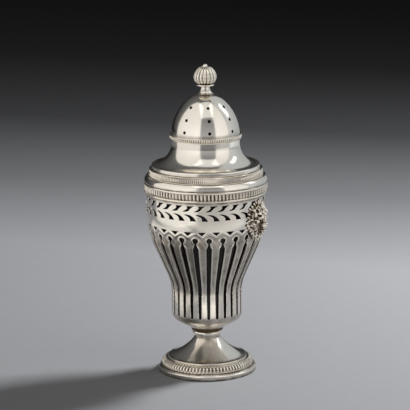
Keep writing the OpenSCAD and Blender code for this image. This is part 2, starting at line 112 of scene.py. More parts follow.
def shares(count):  # even steps from 0 to 1
    return [i / count for i in range(count + 1)]


def smoothStep(low, high, value):
    t = min(1, max(0, (value - low) / (high - low)))
    return t * t * (3 - 2 * t)


def onCircle(centre, radius, angle):  # angle in degrees, from the radial direction
    t = math.radians(angle)
    return centre[0] + radius * math.cos(t), centre[1] + radius * math.sin(t)


def arcPoints(centre, radius, start, end, steps):
    return [onCircle(centre, radius, start + (end - start) * i / steps) for i in range(steps + 1)]


def pulledPoint(a, pull, b, t):  # on the curve from a to b that is drawn towards pull
    return a * (1 - t) ** 2 + pull * 2 * t * (1 - t) + b * t * t


def softProfile(corners, steps=4):  # corners are (radius, height) or (radius, height, rounding)
    points = []
    for i, corner in enumerate(corners):
        here = Vector(corner[:2])
        rounding = corner[2] if len(corner) > 2 else 0
        if not rounding:
            points.append(tuple(here))
            continue
        before = Vector(corners[i - 1][:2]) - here
        after = Vector(corners[(i + 1) % len(corners)][:2]) - here
        half = before.angle(after) / 2
        # two roundings on one side don't meet
        reach = min(rounding / math.tan(half), 0.49 * before.length, 0.49 * after.length)
        first = here + before.normalized() * reach
        last = here + after.normalized() * reach
        points += [tuple(pulledPoint(first, here, last, t)) for t in shares(steps)]
    return points


def drawOutline(name, points):  # a chain drawn by extruding one vertex in the XZ plane
    clearSelection()
    bpy.ops.mesh.primitive_plane_add(size=mm)
    piece = bpy.context.object
    nameBoth(piece, name)
    bpy.ops.object.mode_set(mode="EDIT")
    bpy.ops.mesh.select_all(action="SELECT")
    bpy.ops.mesh.merge(type="CENTER")
    bpy.ops.transform.translate(value=(points[0][0] * mm, 0, points[0][1] * mm))
    for a, b in zip(points, points[1:]):
        step = ((b[0] - a[0]) * mm, 0, (b[1] - a[1]) * mm)
        bpy.ops.mesh.extrude_region_move(TRANSFORM_OT_translate={"value": step})
    return piece


def spinAll(**settings):  # turn everything round the axis, merge seams and poles and face outwards
    bpy.ops.mesh.select_all(action="SELECT")
    bpy.ops.mesh.spin(center=(0, 0, 0), axis=(0, 0, 1), **settings)
    bpy.ops.mesh.select_all(action="SELECT")
    bpy.ops.mesh.remove_doubles(threshold=0.002 * mm)
    bpy.ops.mesh.normals_make_consistent(inside=False)
    bpy.ops.object.mode_set(mode="OBJECT")


def turnOnLathe(name, points, steps=192, ring=True):
    piece = drawOutline(name, points + points[:1] if ring else points)
    spinAll(steps=steps, angle=math.tau)
    return piece


# an attribute for brown patina and, on some pieces, painted shade
def newTarnishAndShade(piece):
    return piece.data.attributes.new("tarnishAndShade", "FLOAT", "POINT")


def tarnishAndShadeAlong(piece, marks, spread):  # brown patina in the corners, and painted shade where a piece's marks stand for it, at (radius, height, amount)
    layer = newTarnishAndShade(piece)
    for i, point in enumerate(piece.data.vertices):
        r = math.hypot(point.co.x, point.co.y) / mm
        z = point.co.z / mm
        browns = [a * math.exp(-((r - mr) ** 2 + (z - mz) ** 2) / spread**2) for mr, mz, a in marks]
        layer.data[i].value = max(browns)


def setTrueNormals(piece, trueNormal, limit):  # shade by the drawn shape, not by its facets
    mesh = piece.data
    normals = [Vector(n.vector) for n in mesh.corner_normals]
    wanted = [trueNormal(v.co) for v in mesh.vertices]
    for face in mesh.polygons:
        for corner in face.loop_indices:
            true = wanted[mesh.loops[corner].vertex_index]
            side = face.normal.dot(true)
            if abs(side) > limit:
                normals[corner] = true if side > 0 else -true
    mesh.normals_split_custom_set(normals)


# Materials

def fillNode(tree, node, inputs):  # an input gets a value, a socket, or the first output in use of a node
    for key, value in inputs.items():
        if isinstance(value, bpy.types.Node):
            value = next(socket for socket in value.outputs if socket.enabled)
        if isinstance(value, bpy.types.NodeSocket):
            tree.links.new(value, node.inputs[key])
        else:
            node.inputs[key].default_value = value


def addNode(tree, kind, inputs=None, **settings):
    node = tree.nodes.new("ShaderNode" + kind)
    for key, value in settings.items():
        setattr(node, key, value)
    fillNode(tree, node, inputs or {})
    return node


def nodeGroup(name, inputs, output):
    group = bpy.data.node_groups.new(name, "ShaderNodeTree")
    for label, value in inputs.items():
        socket = group.interface.new_socket(label, in_out="INPUT", socket_type="NodeSocketFloat")
        socket.default_value = value
    group.interface.new_socket(output, in_out="OUTPUT", socket_type="NodeSocketFloat")
    return group, group.nodes.new("NodeGroupInput"), group.nodes.new("NodeGroupOutput")


def makeCloudGroup():  # slow variation of the polish, in and out of focus
    group, given, result = nodeGroup("handPolish", {"Scale": 60, "Low": 0.1, "High": 0.25}, "Roughness")
    place = addNode(group, "TexCoord")
    cloud = addNode(group, "TexNoise", {
        "Vector": place.outputs["Object"], "Scale": given.outputs["Scale"], "Detail": 5,
        "Roughness": 0.6,
    })
    spread = addNode(group, "MapRange", {
        "Value": cloud, "From Min": 0.3, "From Max": 0.7, "To Min": given.outputs["Low"],
        "To Max": given.outputs["High"],
    })
    fillNode(group, result, {"Roughness": spread})
    return group


def makeScratchGroup():  # fine hairlines from years of rubbing, in three directions
    group, given, result = nodeGroup("rubbingLines", {"Scale": 900}, "Height")
    place = addNode(group, "TexCoord")
    total = None
    for turn in ((0.3, 0.2, 0.1), (1.1, 0.7, 0.4), (0.5, 1.3, 2.1)):
        mapping = addNode(group, "Mapping", {
            "Vector": place.outputs["Object"], "Rotation": turn, "Scale": (1, 1, 0.05),
        })
        lines = addNode(group, "TexNoise", {
            "Vector": mapping, "Scale": given.outputs["Scale"], "Detail": 2,
        })
        total = addNode(group, "Math", {0: total, 1: lines}, operation="ADD") if total else lines
    fillNode(group, result, {"Height": total})
    return group


def makeTarnishAndShadeGroup():  # brown sulphide that stays where a cloth can't reach, and the painted shade that some pieces carry in the same attribute
    group, given, result = nodeGroup("tarnishAndShadeMask", {"RecessAndShade": 0, "Amount": 1, "Film": 0.1}, "Mask")
    place = addNode(group, "TexCoord")
    patches = addNode(group, "TexNoise", {"Vector": place.outputs["Object"], "Scale": 180, "Detail": 4})
    uneven = addNode(group, "MapRange", {
        "Value": patches, "From Min": 0.3, "From Max": 0.7, "To Min": 0.55, "To Max": 1.15,
    })
    deep = addNode(group, "Math", {0: given.outputs["RecessAndShade"], 1: uneven}, operation="MULTIPLY")
    scaled = addNode(group, "Math", {0: deep, 1: given.outputs["Amount"]}, operation="MULTIPLY")
    film = addNode(group, "Math", {
        0: uneven, 1: given.outputs["Film"], 2: scaled,
    }, operation="MULTIPLY_ADD", use_clamp=True)
    fillNode(group, result, {"Mask": film})
    return group


handPolish = makeCloudGroup()
rubbingLines = makeScratchGroup()
tarnishAndShadeMask = makeTarnishAndShadeGroup()


def newMaterial(name):
    material = bpy.data.materials.new(name)
    material.use_nodes = True
    return material, material.node_tree, material.node_tree.nodes["Principled BSDF"]


def makeSilver(name, look):
    material, tree, shader = newMaterial(name)
    low, high = look["roughness"]
    polish = addNode(tree, "Group", {
        "Scale": look["cloudScale"], "Low": low, "High": high,
    }, node_tree=handPolish)
    lines = addNode(tree, "Group", node_tree=rubbingLines)
    # the attribute mixes in brown for patina and for painted shade
    brownAndShade = addNode(tree, "Attribute", attribute_name="tarnishAndShade")
    mask = addNode(tree, "Group", {
        "RecessAndShade": brownAndShade.outputs["Fac"], "Amount": look["tarnishAndShade"], "Film": look["film"],
    }, node_tree=tarnishAndShadeMask)
    colour = addNode(tree, "Mix", {
        "Factor": mask, "A": (*look["clean"], 1), "B": (*look["brown"], 1),
    }, data_type="RGBA")
    rough = addNode(tree, "Math", {  # tarnish and painted shade are duller than clean metal
        0: mask, 1: 0.35, 2: polish,
    }, operation="MULTIPLY_ADD", use_clamp=True)
    bump = addNode(tree, "Bump", {"Strength": look["lines"], "Distance": 0.00005, "Height": lines})
    fillNode(tree, shader, {"Metallic": 1, "Base Color": colour, "Roughness": rough, "Normal": bump})
    return material


polishedSilver = makeSilver("polishedSilver", {
    "clean": (0.94, 0.892, 0.815), "brown": (0.11, 0.073, 0.034), "roughness": (0.09, 0.18),
    "cloudScale": 55, "tarnishAndShade": 0.95, "film": 0.07, "lines": 0.12,
})
tarnishedSilver = makeSilver("tarnishedSilver", {
    "clean": (0.96, 0.895, 0.79), "brown": (0.09, 0.057, 0.027), "roughness": (0.09, 0.19),
    "cloudScale": 90, "tarnishAndShade": 1.0, "film": 0.04, "lines": 0.15,
})


def makeDarkGlass():
    material, tree, shader = newMaterial("darkGlass")
    place = addNode(tree, "TexCoord")
    streaks = addNode(tree, "TexNoise", {"Vector": place.outputs["Object"], "Scale": 70, "Detail": 3})
    tint = addNode(tree, "ValToRGB", {"Fac": streaks})
    tint.color_ramp.elements[0].color = (0.006, 0.004, 0.0025, 1)
    tint.color_ramp.elements[1].color = (0.016, 0.010, 0.006, 1)
    gloss = addNode(tree, "MapRange", {"Value": streaks, "To Min": 0.06, "To Max": 0.16})
    fillNode(tree, shader, {
        "Base Color": tint, "Roughness": gloss, "IOR": 1.52, "Metallic": 0, "Specular IOR Level": 0.25,
    })
    return material


slotMaterials = {
    "polished_silver": polishedSilver, "tarnished_silver": tarnishedSilver,
    "dark_glass": makeDarkGlass(),
}
print("materials made")


# Finishing

def finishPiece(piece, body, node, slotName, smooth=40, weighted=True):
    pick([piece])
    bpy.ops.object.shade_smooth_by_angle(angle=math.radians(smooth))
    if weighted:  # flat faces stay flat beside their roundings
        applyModifier(piece, "WEIGHTED_NORMAL", keep_sharp=True, weight=50)
    piece.data.materials.clear()
    piece.data.materials.append(slotMaterials[slotName])
    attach(piece, body)
    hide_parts(node)


def latheSilver(name, body, node, points, marks, spread, steps=192, ring=True, weighted=True):
    piece = turnOnLathe(name, points, steps, ring)
    tarnishAndShadeAlong(piece, marks, spread)
    finishPiece(piece, body, node, "polished_silver", weighted=weighted)


def plainRows(points):  # stations without lobes
    return [(p, p, 0) for p in points]


def lobedSilver(name, body, node, stations, count, columns):
    # each station is (point in the groove, point on the crest, half width of the lobe there)
    clearSelection()
    rows = len(stations) - 1
    bpy.ops.mesh.primitive_grid_add(x_subdivisions=columns, y_subdivisions=rows, size=2)
    piece = bpy.context.object
    nameBoth(piece, name)
    tarnishAndShade = newTarnishAndShade(piece)
    brownDepth = 0.4  # grooves this deep, or deeper, are quite brown
    for i, point in enumerate(piece.data.vertices):
        across = math.sin(point.co.x * math.pi / 2)  # columns crowd towards the grooves
        groove, crest, width = stations[round((point.co.y + 1) / 2 * rows)]
        swell = math.sqrt(max(0, 1 - (across / width) ** 2)) if width else 0
        radius = groove[0] + (crest[0] - groove[0]) * swell
        height = groove[1] + (crest[1] - groove[1]) * swell
        turn = across * math.pi / count
        point.co = (radius * math.cos(turn) * mm, radius * math.sin(turn) * mm, height * mm)
        depth = math.hypot(crest[0] - groove[0], crest[1] - groove[1])
        tarnishAndShade.data[i].value = (1 - swell) * min(1, depth / brownDepth)
    bpy.ops.object.mode_set(mode="EDIT")
    spinAll(steps=count - 1, angle=math.tau * (count - 1) / count, dupli=True)
    finishPiece(piece, body, node, "tarnished_silver", weighted=False)


def roundEnd(t, share):  # quarter-round start of a bar, over a share of its length
    return math.sqrt(1 - (1 - min(1, t / share)) ** 2)


# Foot

footRim = {"edgeHeight": 2.5, "shoulder": 1.8, "bore": 25.3, "round": 0.45}


def makeFootRim(size):
    r, low, high = turnedBox("foot_rim")
    inner = r - size["shoulder"]
    points = softProfile([
        (size["bore"], low),
        (r - 0.3, low, 0.2),
        (r, low + 0.3, 0.2),
        (r, low + size["edgeHeight"], size["round"]),
        (inner, high, 0.3),
        (size["bore"], high),
    ])
    # the brown along the bottom edge is a painted contact shadow
    marks = [(inner, high, 1.4), (r, low + 0.2, 1.0)]
    latheSilver("footRim", "caster_body", "foot_rim", points, marks, 0.8)


footGadroons = {
    "count": 80, "ovolo": 3.4, "base": 0.5, "bore": 22.5, "groove": 0.9, "barWidth": 0.7,
    "firstTilt": 4, "sweep": 78, "endShare": 0.22,
}


def makeFootGadroons(size):
    r, low, high = turnedBox("foot_gadroon_band")
    bore = size["bore"]
    centre = (r - size["ovolo"], low + size["base"])
    stations = plainRows([(bore, low), (r - 0.1, low)])
    for t in shares(9):
        tilt = size["firstTilt"] + size["sweep"] * t
        deep = size["groove"] * min(1, 3.2 * t + 0.25) * min(1, 3.5 * (1 - t))  # shallow at both ends
        crest = onCircle(centre, size["ovolo"], tilt)
        groove = onCircle(centre, size["ovolo"] - deep, tilt)
        width = size["barWidth"] * min(1, roundEnd(t, size["endShare"]) * 0.6 + 0.4)
        stations.append((groove, crest, width))
    stations += plainRows([(centre[0] + 0.35, high), (bore, high), (bore, low)])
    lobedSilver("footGadroons", "caster_body", "foot_gadroon_band", stations, size["count"], 8)


footWire = {"bore": 22.5}


def makeFootWire(size):
    r, low, high = turnedBox("foot_wire")
    half = (high - low) / 2
    points = [(size["bore"], low)]
    points += arcPoints((r - half, low + half), half, -90, 90, 10)
    points += [(size["bore"], high)]
    marks = [(r - half, low, 1), (r - half, high, 1)]
    latheSilver("footWire", "caster_body", "foot_wire", points, marks, 0.45, weighted=False)


footTrumpet = {"curve": 32, "top": 7.6, "wall": 0.9, "flange": 0.35}


def trumpetArc(size, base, top, inset):
    mid = (Vector(base) + Vector(top)) / 2
    chord = Vector(top) - Vector(base)
    rise = math.sqrt(size["curve"] ** 2 - (chord.length / 2) ** 2)
    centre = mid + Vector((chord.y, -chord.x)).normalized() * rise
    angles = [math.degrees(math.atan2(p[1] - centre.y, p[0] - centre.x)) % 360 for p in (base, top)]
    return arcPoints(centre, size["curve"] + inset, angles[0], angles[1], 28)


def makeFootTrumpet(size):
    r, low, high = turnedBox("foot_trumpet")
    base = (r, low + size["flange"])
    top = (size["top"], high)
    outer = trumpetArc(size, base, top, 0)
    inner = [p for p in trumpetArc(size, base, top, size["wall"]) if p[1] > low + 0.3]
    points = outer + inner[::-1] + [(inner[0][0], low), (r, low)]
    marks = [(r, low + 0.3, 1), (*top, 1)]
    latheSilver("footTrumpet", "caster_body", "foot_trumpet", points, marks, 0.8)


footCollar = {
    "neck": 7.0, "neckHeight": 1.0, "foot": 7.6, "footHeight": 0.6, "bead": 9.4, "beadHeight": 3.1,
    "disc": 9.9,
}


def makeFootCollar(size):
    low, high = turnedBox("foot_collar")[1:]
    foot, neck, disc = size["foot"], size["neck"], size["disc"]
    neckLow = low + size["footHeight"]
    beadLow = low + size["neckHeight"]
    half = size["beadHeight"] / 2
    beadTop = beadLow + 2 * half
    beadMiddle = size["bead"] - half
    points = [(0, low)] + softProfile([
        (foot, low),
        (foot, neckLow, 0.25),
        (neck, neckLow + 0.1, 0.1),
        (neck, beadLow, 0.1),
        (beadMiddle, beadLow),
    ])
    points += arcPoints((beadMiddle, beadLow + half), half, -80, 80, 12)
    points += softProfile([(beadMiddle - 0.1, beadTop), (disc, beadTop, 0.25), (disc, high)])
    points += [(0, high)]
    # the brown on the disc's side under the bowl is painted shade
    marks = [
        (neck, (neckLow + beadLow) / 2, 0.9),
        (beadMiddle, beadTop, 1.5),
        (disc, beadTop + 0.7, 1.7),
        (disc, high, 1.7),
    ]
    latheSilver(
        "footCollar", "caster_body", "foot_collar", points, marks, 0.8, steps=128, ring=False, weighted=False
    )


makeFootRim(footRim)
makeFootGadroons(footGadroons)
makeFootWire(footWire)
makeFootTrumpet(footTrumpet)
makeFootCollar(footCollar)
print("foot made")


# Pierced body

body = {
    "sheet": 0.9, "drum": 36.9, "drumFoot": 101.7, "shoulderCurve": 55.7, "sweepCurve": 26,
    "waist": 22.2, "waistFoot": 38.0, "waistTop": 51.2, "bowlCurve": 6.5, "bowlSlope": 60,
    "plainBelow": 35.6,  # the bowl under this height has no piercing
    "columns": 208, "rowStep": 1.4, "edgeRound": 0.2, "staveRecess": 0.28,
    "recessHeights": (46, 60),  # the staves grow hollow between these
    "rimWidth": 0.75,  # of the raised edge round each slot
    "rimRows": (0.5, 0.85, 1.25), "rimRowGap": 0.28, "gridGap": 0.5, "ridge": 0.16, "ridgeWidth": 0.42,
    "zigzagLow": 92.1, "zigzagHigh": 94.7, "zigzagSteps": 14, "zigzagRows": (-0.3, -0.1, 0.15, 0.45),
    # brown patina in the stave hollows, and painted shade on the bowl, under the zigzag, under the gadroon
    # band and just over the bowl: how much, and the heights between which it grows
    "zigzagShade": 0.5, "hollowBrown": 0.64, "bowlShade": 0.5, "bowlShadeEases": (0.4, 35, 31.5),
    "bowlFootShade": (0.6, 30.5, 28), "shadeUnderBand": (0.85, 112, 114), "shadeOverBowl": (0.55, 39, 36.5),
}
keyhole = {
    "count": 26, "head": 3.6, "headHeight": 90.2, "throat": 1.4, "wide": 3.5, "end": 1.7,
    "endHeight": 37.1,
}
triangle = {"width": 5.0, "height": 2.3, "top": 95.8}
leaf = {
    "count": 32, "stemLow": 107.2, "stemHeight": 1.3, "upper": 3.9, "upperTurn": 0.15,
    "upperKnots": [
        (-0.74, 0.03), (0.1, -0.03), (0.4, 0.27), (0.6, 0.6),
        (1.25, 0.98), (0.6, 0.94), (0, 0.92), (0.42, 0.48),
    ],
    "lower": 4.4, "lowerTurn": 0.47,
    "lowerKnots": [(-1, -0.1), (0.3, 0.09), (0.85, -1), (0.42, -0.98), (0, -1), (0.14, -0.33)],
}
tailLow = keyhole["endHeight"] + keyhole["end"] / 2
throatHeight = keyhole["headHeight"] - (keyhole["head"] + keyhole["throat"]) / 2
wideHeight = throatHeight - keyhole["wide"]


def coneSlope(size):  # slope of the cone that touches the shoulder and the sweep
    curves = size["shoulderCurve"] + size["sweepCurve"]
    rise = size["drumFoot"] - size["waistTop"]
    run = curves - (size["drum"] - size["waist"])
    return math.atan2(rise, run) - math.acos(curves / math.hypot(run, rise))


slope = coneSlope(body)
sweepEnd = body["waistTop"] + body["sweepCurve"] * math.sin(slope)
shoulderEnd = body["drumFoot"] - body["shoulderCurve"] * math.sin(slope)


def bodyRadius(z):  # outside of the plain sheet at a height
    drum, waist = body["drum"], body["waist"]
    shoulder, sweep, bowl = body["shoulderCurve"], body["sweepCurve"], body["bowlCurve"]
    if z >= body["drumFoot"]:
        return drum
    if z >= shoulderEnd:
        return drum - shoulder + math.sqrt(shoulder**2 - (body["drumFoot"] - z) ** 2)
    if z >= sweepEnd:
        return waist + sweep * (1 - math.cos(slope)) + (z - sweepEnd) * math.tan(slope)
    if z >= body["waistTop"]:
        return waist + sweep - math.sqrt(sweep**2 - (z - body["waistTop"]) ** 2)
    if z >= body["waistFoot"]:
        return waist
    return waist - bowl + math.sqrt(bowl**2 - (body["waistFoot"] - z) ** 2)


def zigzag(turn):  # height of the chased zigzag, high above the keyholes
    share = turn / math.tau * keyhole["count"] % 1
    up = abs(2 * share - 1)
    return body["zigzagLow"] + (body["zigzagHigh"] - body["zigzagLow"]) * up


def tailHalfWidth(z):  # of a slot, from its lower end to the throat under its head
    if z < wideHeight:
        t = (z - tailLow) / (wideHeight - tailLow)
        return (keyhole["end"] + (keyhole["wide"] - keyhole["end"]) * t) / 2
    pinch = smoothStep(wideHeight, throatHeight, z)
    return (keyhole["wide"] + (keyhole["throat"] - keyhole["wide"]) * pinch) / 2


def slotDistance(turn, z):  # from the edge of the nearest slot, along the sheet
    pitch = math.tau / keyhole["count"]
    across = abs((turn / pitch + 0.5) % 1 - 0.5) * pitch * bodyRadius(z)
    if z < tailLow:
        return math.hypot(across, z - tailLow) - keyhole["end"] / 2
    head = math.hypot(across, z - keyhole["headHeight"]) - keyhole["head"] / 2
    if z > throatHeight:
        return head
    return min(head, across - tailHalfWidth(z))


def staveDish(turn, z):  # 0 on the plain sheet and the slots' rims, 1 in the hollow between two slots
    over = z - zigzag(turn)
    inside = (1 - smoothStep(-0.7, 0, over)) * smoothStep(*body["recessHeights"], z)
    gap = max(0, slotDistance(turn, z))
    return inside * (1 - math.exp(-((gap / body["rimWidth"]) ** 2)))


def bodyRelief(turn, z):  # how far the chased surface stands off the plain sheet
    over = z - zigzag(turn)
    ridge = body["ridge"] * math.exp(-(((over - 0.25) / body["ridgeWidth"]) ** 2))
    return ridge - staveDish(turn, z) * body["staveRecess"]


def bodyPoint(turn, z, drop=0):
    radius = bodyRadius(z) + bodyRelief(turn, z) - drop
    return Vector((radius * math.cos(turn), radius * math.sin(turn), z))


def bodyNormal(co):  # true normal of the chased surface at a point in metres
    turn = math.atan2(co.y, co.x)
    z = co.z / mm
    if z < body["plainBelow"] + 0.1:
        deepest = body["bowlCurve"] * math.sin(math.radians(body["bowlSlope"]))
        drop = body["waistFoot"] - max(z, body["waistFoot"] - deepest)
        tilt = math.asin(drop / body["bowlCurve"])
        return Vector((math.cos(turn) * math.cos(tilt), math.sin(turn) * math.cos(tilt), -math.sin(tilt)))
    small = 0.02
    smallTurn = small / 30
    along = bodyPoint(turn + smallTurn, z) - bodyPoint(turn - smallTurn, z)
    up = bodyPoint(turn, z + small) - bodyPoint(turn, z - small)
    return along.cross(up).normalized()


def bodyBrownAndShade(turn, z):
    def growing(amount, start, end):
        return amount * smoothStep(start, end, z)

    # the bowl's brown is painted shade and dark reflection, lighter in a band across its middle and darker
    # towards the collar
    if z < body["plainBelow"]:
        return body["bowlShade"] - growing(*body["bowlShadeEases"]) + growing(*body["bowlFootShade"])
    # painted shade under the zigzag ridge, under the gadroon band and just over the bowl; patina in the stave
    # hollows
    shadeUnderRidge = body["zigzagShade"] * math.exp(-(((z - zigzag(turn) + 0.45) / 0.4) ** 2))
    hollow = body["hollowBrown"] * staveDish(turn, z)
    return max(shadeUnderRidge, hollow, growing(*body["shadeUnderBand"]), growing(*body["shadeOverBowl"]))


def curvedOutline(knots, steps=9):  # corners and the points that pull the side after each
    outline = []
    for i in range(0, len(knots), 2):
        a, pull, b = Vector(knots[i]), Vector(knots[i + 1]), Vector(knots[(i + 2) % len(knots)])
        outline += [pulledPoint(a, pull, b, t) for t in shares(steps)[:-1]]
    return outline


def keyholeOutline(size):
    right = [Vector(p) for p in arcPoints((0, tailLow), size["end"] / 2, -90, 0, 5)]
    # the widening tail, then an ogee from the widest place up to the throat
    for start, end, rows in ((tailLow, wideHeight, 34), (wideHeight, throatHeight, 7)):
        for i in range(1, rows + 1):
            z = start + (end - start) * i / rows
            right.append(Vector((tailHalfWidth(z), z)))
    first = -math.degrees(math.acos(size["throat"] / size["head"]))
    right += [Vector(p) for p in arcPoints((0, size["headHeight"]), size["head"] / 2, first, 90, 14)]
    left = [Vector((-p.x, p.y)) for p in right[-2:0:-1]]
    return right + left


def triangleOutline(size):
    half = size["width"] / 2
    top = size["top"]
    low = top - size["height"]
    pull = (top + low) / 2 - 0.1
    knots = [(0, low), (half / 2, pull), (half, top), (0, top + 0.05), (-half, top), (-half / 2, pull)]
    return curvedOutline(knots, 7)


def gapOutline(knots, height, foot):  # a gap between leaves, its knots drawn for a height of 1
    outline = curvedOutline([(x * height, y * height) for x, y in knots])
    return [Vector((p.x, p.y + foot)) for p in outline]


def grownOutline(outline, reach):  # the same outline moved into the metal
    area = sum(a.x * b.y - b.x * a.y for a, b in zip(outline, outline[1:] + outline[:1]))
    turned = 1 if area > 0 else -1
    grown = []
    for i, here in enumerate(outline):
        along = outline[(i + 1) % len(outline)] - outline[i - 1]
        out = Vector((along.y, -along.x)).normalized() * turned
        grown.append(here + out * reach)
    return grown


def insideOutline(outline, x, z):  # numpy arrays of points in the outline's own plane
    hit = np.zeros(len(x), bool)
    for a, b in zip(outline, outline[1:] + outline[:1]):
        if a.y == b.y:
            continue
        crosses = (a.y > z) != (b.y > z)
        hit ^= crosses & (x < (b.x - a.x) * (z - a.y) / (b.y - a.y) + a.x)
    return hit


def sheetSpots(size, piercings, low, high):  # (turn, height, drop) of the sheet's points, and its edges
    spots = []
    edges = []
    for outline, count, share in piercings:
        for reach, drop in ((0, size["edgeRound"] * 0.7), (size["edgeRound"], 0)):
            ring = grownOutline(outline, reach)
            number = len(ring)
            for i in range(count):
                first = len(spots)
                middle = (i + share) * math.tau / count
                spots += [(middle + p.x / bodyRadius(p.y), p.y, drop) for p in ring]
                edges += [(first + k, first + (k + 1) % number) for k in range(number)]
    chasedColumns = keyhole["count"] * size["zigzagSteps"]
    for k in range(chasedColumns):  # rows along the chased zigzag
        turn = k * math.tau / chasedColumns
        spots += [(turn, zigzag(turn) + shift, 0) for shift in size["zigzagRows"]]

    def spotTree():
        tree = KDTree(len(spots))
        for i, spot in enumerate(spots):
            tree.insert(bodyPoint(*spot[:2]), i)
        tree.balance()
        return tree

    placed = spotTree()
    for reach in size["rimRows"]:  # rows that follow the raised rims of the slots
        rim = [p for p in grownOutline(keyholeOutline(keyhole), reach) if p.y > low + 0.6]
        for i in range(keyhole["count"]):
            for p in rim:
                turn = i * math.tau / keyhole["count"] + p.x / bodyRadius(p.y)
                if placed.find(bodyPoint(turn, p.y))[2] > size["rimRowGap"]:
                    spots.append((turn, p.y, 0))
        placed = spotTree()
    rows = round((high - low) / size["rowStep"])
    for row in range(rows + 1):
        z = low + (high - low) * row / rows
        shift = 0 if row in (0, rows) else 0.5 * (row % 2)
        for column in range(size["columns"]):
            turn = (column + shift) * math.tau / size["columns"]
            if placed.find(bodyPoint(turn, z))[2] > size["gridGap"]:
                spots.append((turn, z, 0))
    return spots, edges


def cutSheet(size, piercings, low, high):  # points and faces of the pierced sheet
    spots, edges = sheetSpots(size, piercings, low, high)
    heights = np.linspace(low, high, 700)
    steps = np.array([1 / bodyRadius(z) for z in heights])
    stretch = np.concatenate([[0], np.cumsum((steps[1:] + steps[:-1]) / 2 * np.diff(heights))])
    half = stretch[-1] / 2

    def flat(turn, z):  # the sheet laid out flat round the axis, true to shape
        reach = math.exp(np.interp(z, heights, stretch) - half)
        return Vector((reach * math.cos(turn), reach * math.sin(turn)))

    made = delaunay_2d_cdt([flat(*spot[:2]) for spot in spots], edges, [], 0, 1e-9, True)
    flats, faces, origins = made[0], made[2], made[3]
    levels = np.interp([math.log(p.length) + half for p in flats], stretch, heights)
    points = []
    for p, z, origin in zip(flats, levels, origins):
        drop = spots[origin[0]][2] if origin else 0
        points.append(bodyPoint(math.atan2(p.y, p.x), z, drop) * mm)

    # faces in the middle and in the openings fall out
    centres = np.array([[sum(flats[v].x for v in f) / 3, sum(flats[v].y for v in f) / 3] for f in faces])
    reaches = np.hypot(centres[:, 0], centres[:, 1])
    faceLevels = np.interp(np.log(reaches) + half, stretch, heights)
    faceTurns = np.arctan2(centres[:, 1], centres[:, 0])
    faceRadii = np.array([bodyRadius(z) for z in faceLevels])
    inner = math.exp(-half)
    hollow = reaches < inner * math.cos(math.pi / size["columns"])
    hollow &= np.array([min(flats[v].length for v in f) for f in faces]) < inner * 1.0001
    for outline, count, share in piercings:
        pitch = math.tau / count
        for near in (-1, 0, 1):
            place = np.round(faceTurns / pitch - share) + near + share
            hollow |= insideOutline(outline, (faceTurns - place * pitch) * faceRadii, faceLevels)
    return points, [f for f, gone in zip(faces, hollow) if not gone]


def makePiercedBody(size):
    upperGap = gapOutline(leaf["upperKnots"], leaf["upper"], leaf["stemLow"] + leaf["stemHeight"])
    lowerGap = gapOutline(leaf["lowerKnots"], leaf["lower"], leaf["stemLow"])
    piercings = [  # outline, how many, and the share of a pitch by which the first is turned
        (keyholeOutline(keyhole), keyhole["count"], 0),
        (triangleOutline(triangle), keyhole["count"], 0.5),
        (upperGap, leaf["count"], leaf["upperTurn"]),
        (lowerGap, leaf["count"], leaf["lowerTurn"]),
    ]
    low = size["plainBelow"]
    foot, high = turnedBox("pierced_body")[1:]
    points, faces = cutSheet(size, piercings, low, high)
    mesh = bpy.data.meshes.new("piercedBody")
    mesh.from_pydata(points, [], faces)
    piece = bpy.data.objects.new("piercedBody", mesh)
    bpy.context.collection.objects.link(piece)

    # the plain bowl and the floor are spun and joined on
    bowlCentre = (size["waist"] - size["bowlCurve"], size["waistFoot"])
    start = -math.degrees(math.asin((size["waistFoot"] - low) / size["bowlCurve"]))
    bowl = arcPoints(bowlCentre, size["bowlCurve"], start, -size["bowlSlope"], 8)
    edge, bend = bowl[-1]
    run = (bend - foot) * math.tan(math.radians(size["bowlSlope"]))
    bowl += [(edge - run * t, bend + (foot - bend) * t) for t in (0.33, 0.66, 1)]
    bowl += [(0, foot)]
    joinAll([piece, turnOnLathe("bowl", bowl, size["columns"], ring=False)])
    bpy.ops.object.mode_set(mode="EDIT")
    bpy.ops.mesh.select_all(action="SELECT")
    bpy.ops.mesh.remove_doubles(threshold=0.01 * mm)
    bpy.ops.mesh.delete_loose()
    bpy.ops.mesh.select_all(action="SELECT")
    bpy.ops.mesh.normals_make_consistent(inside=False)
    bpy.ops.object.mode_set(mode="OBJECT")
    if sum(f.normal.xy.dot(f.center.xy) for f in piece.data.polygons) < 0:
        piece.data.flip_normals()
    layer = newTarnishAndShade(piece)
    for i, v in enumerate(piece.data.vertices):
        layer.data[i].value = bodyBrownAndShade(math.atan2(v.co.y, v.co.x), v.co.z / mm)
    applyModifier(piece, "SOLIDIFY", thickness=size["sheet"] * mm, offset=-1, use_even_offset=False)
    finishPiece(piece, "caster_body", "pierced_body", "polished_silver", smooth=50, weighted=False)
    setTrueNormals(piece, bodyNormal, 0.86)
    print("pierced body:", len(piece.data.polygons), "faces")


makePiercedBody(body)


# Mouldings round the body

bodyGadroons = {
    "count": 104, "inner": 36.95, "fillet": 1.25, "groove": 0.95, "barWidth": 0.74, "endShare": 0.3,
}


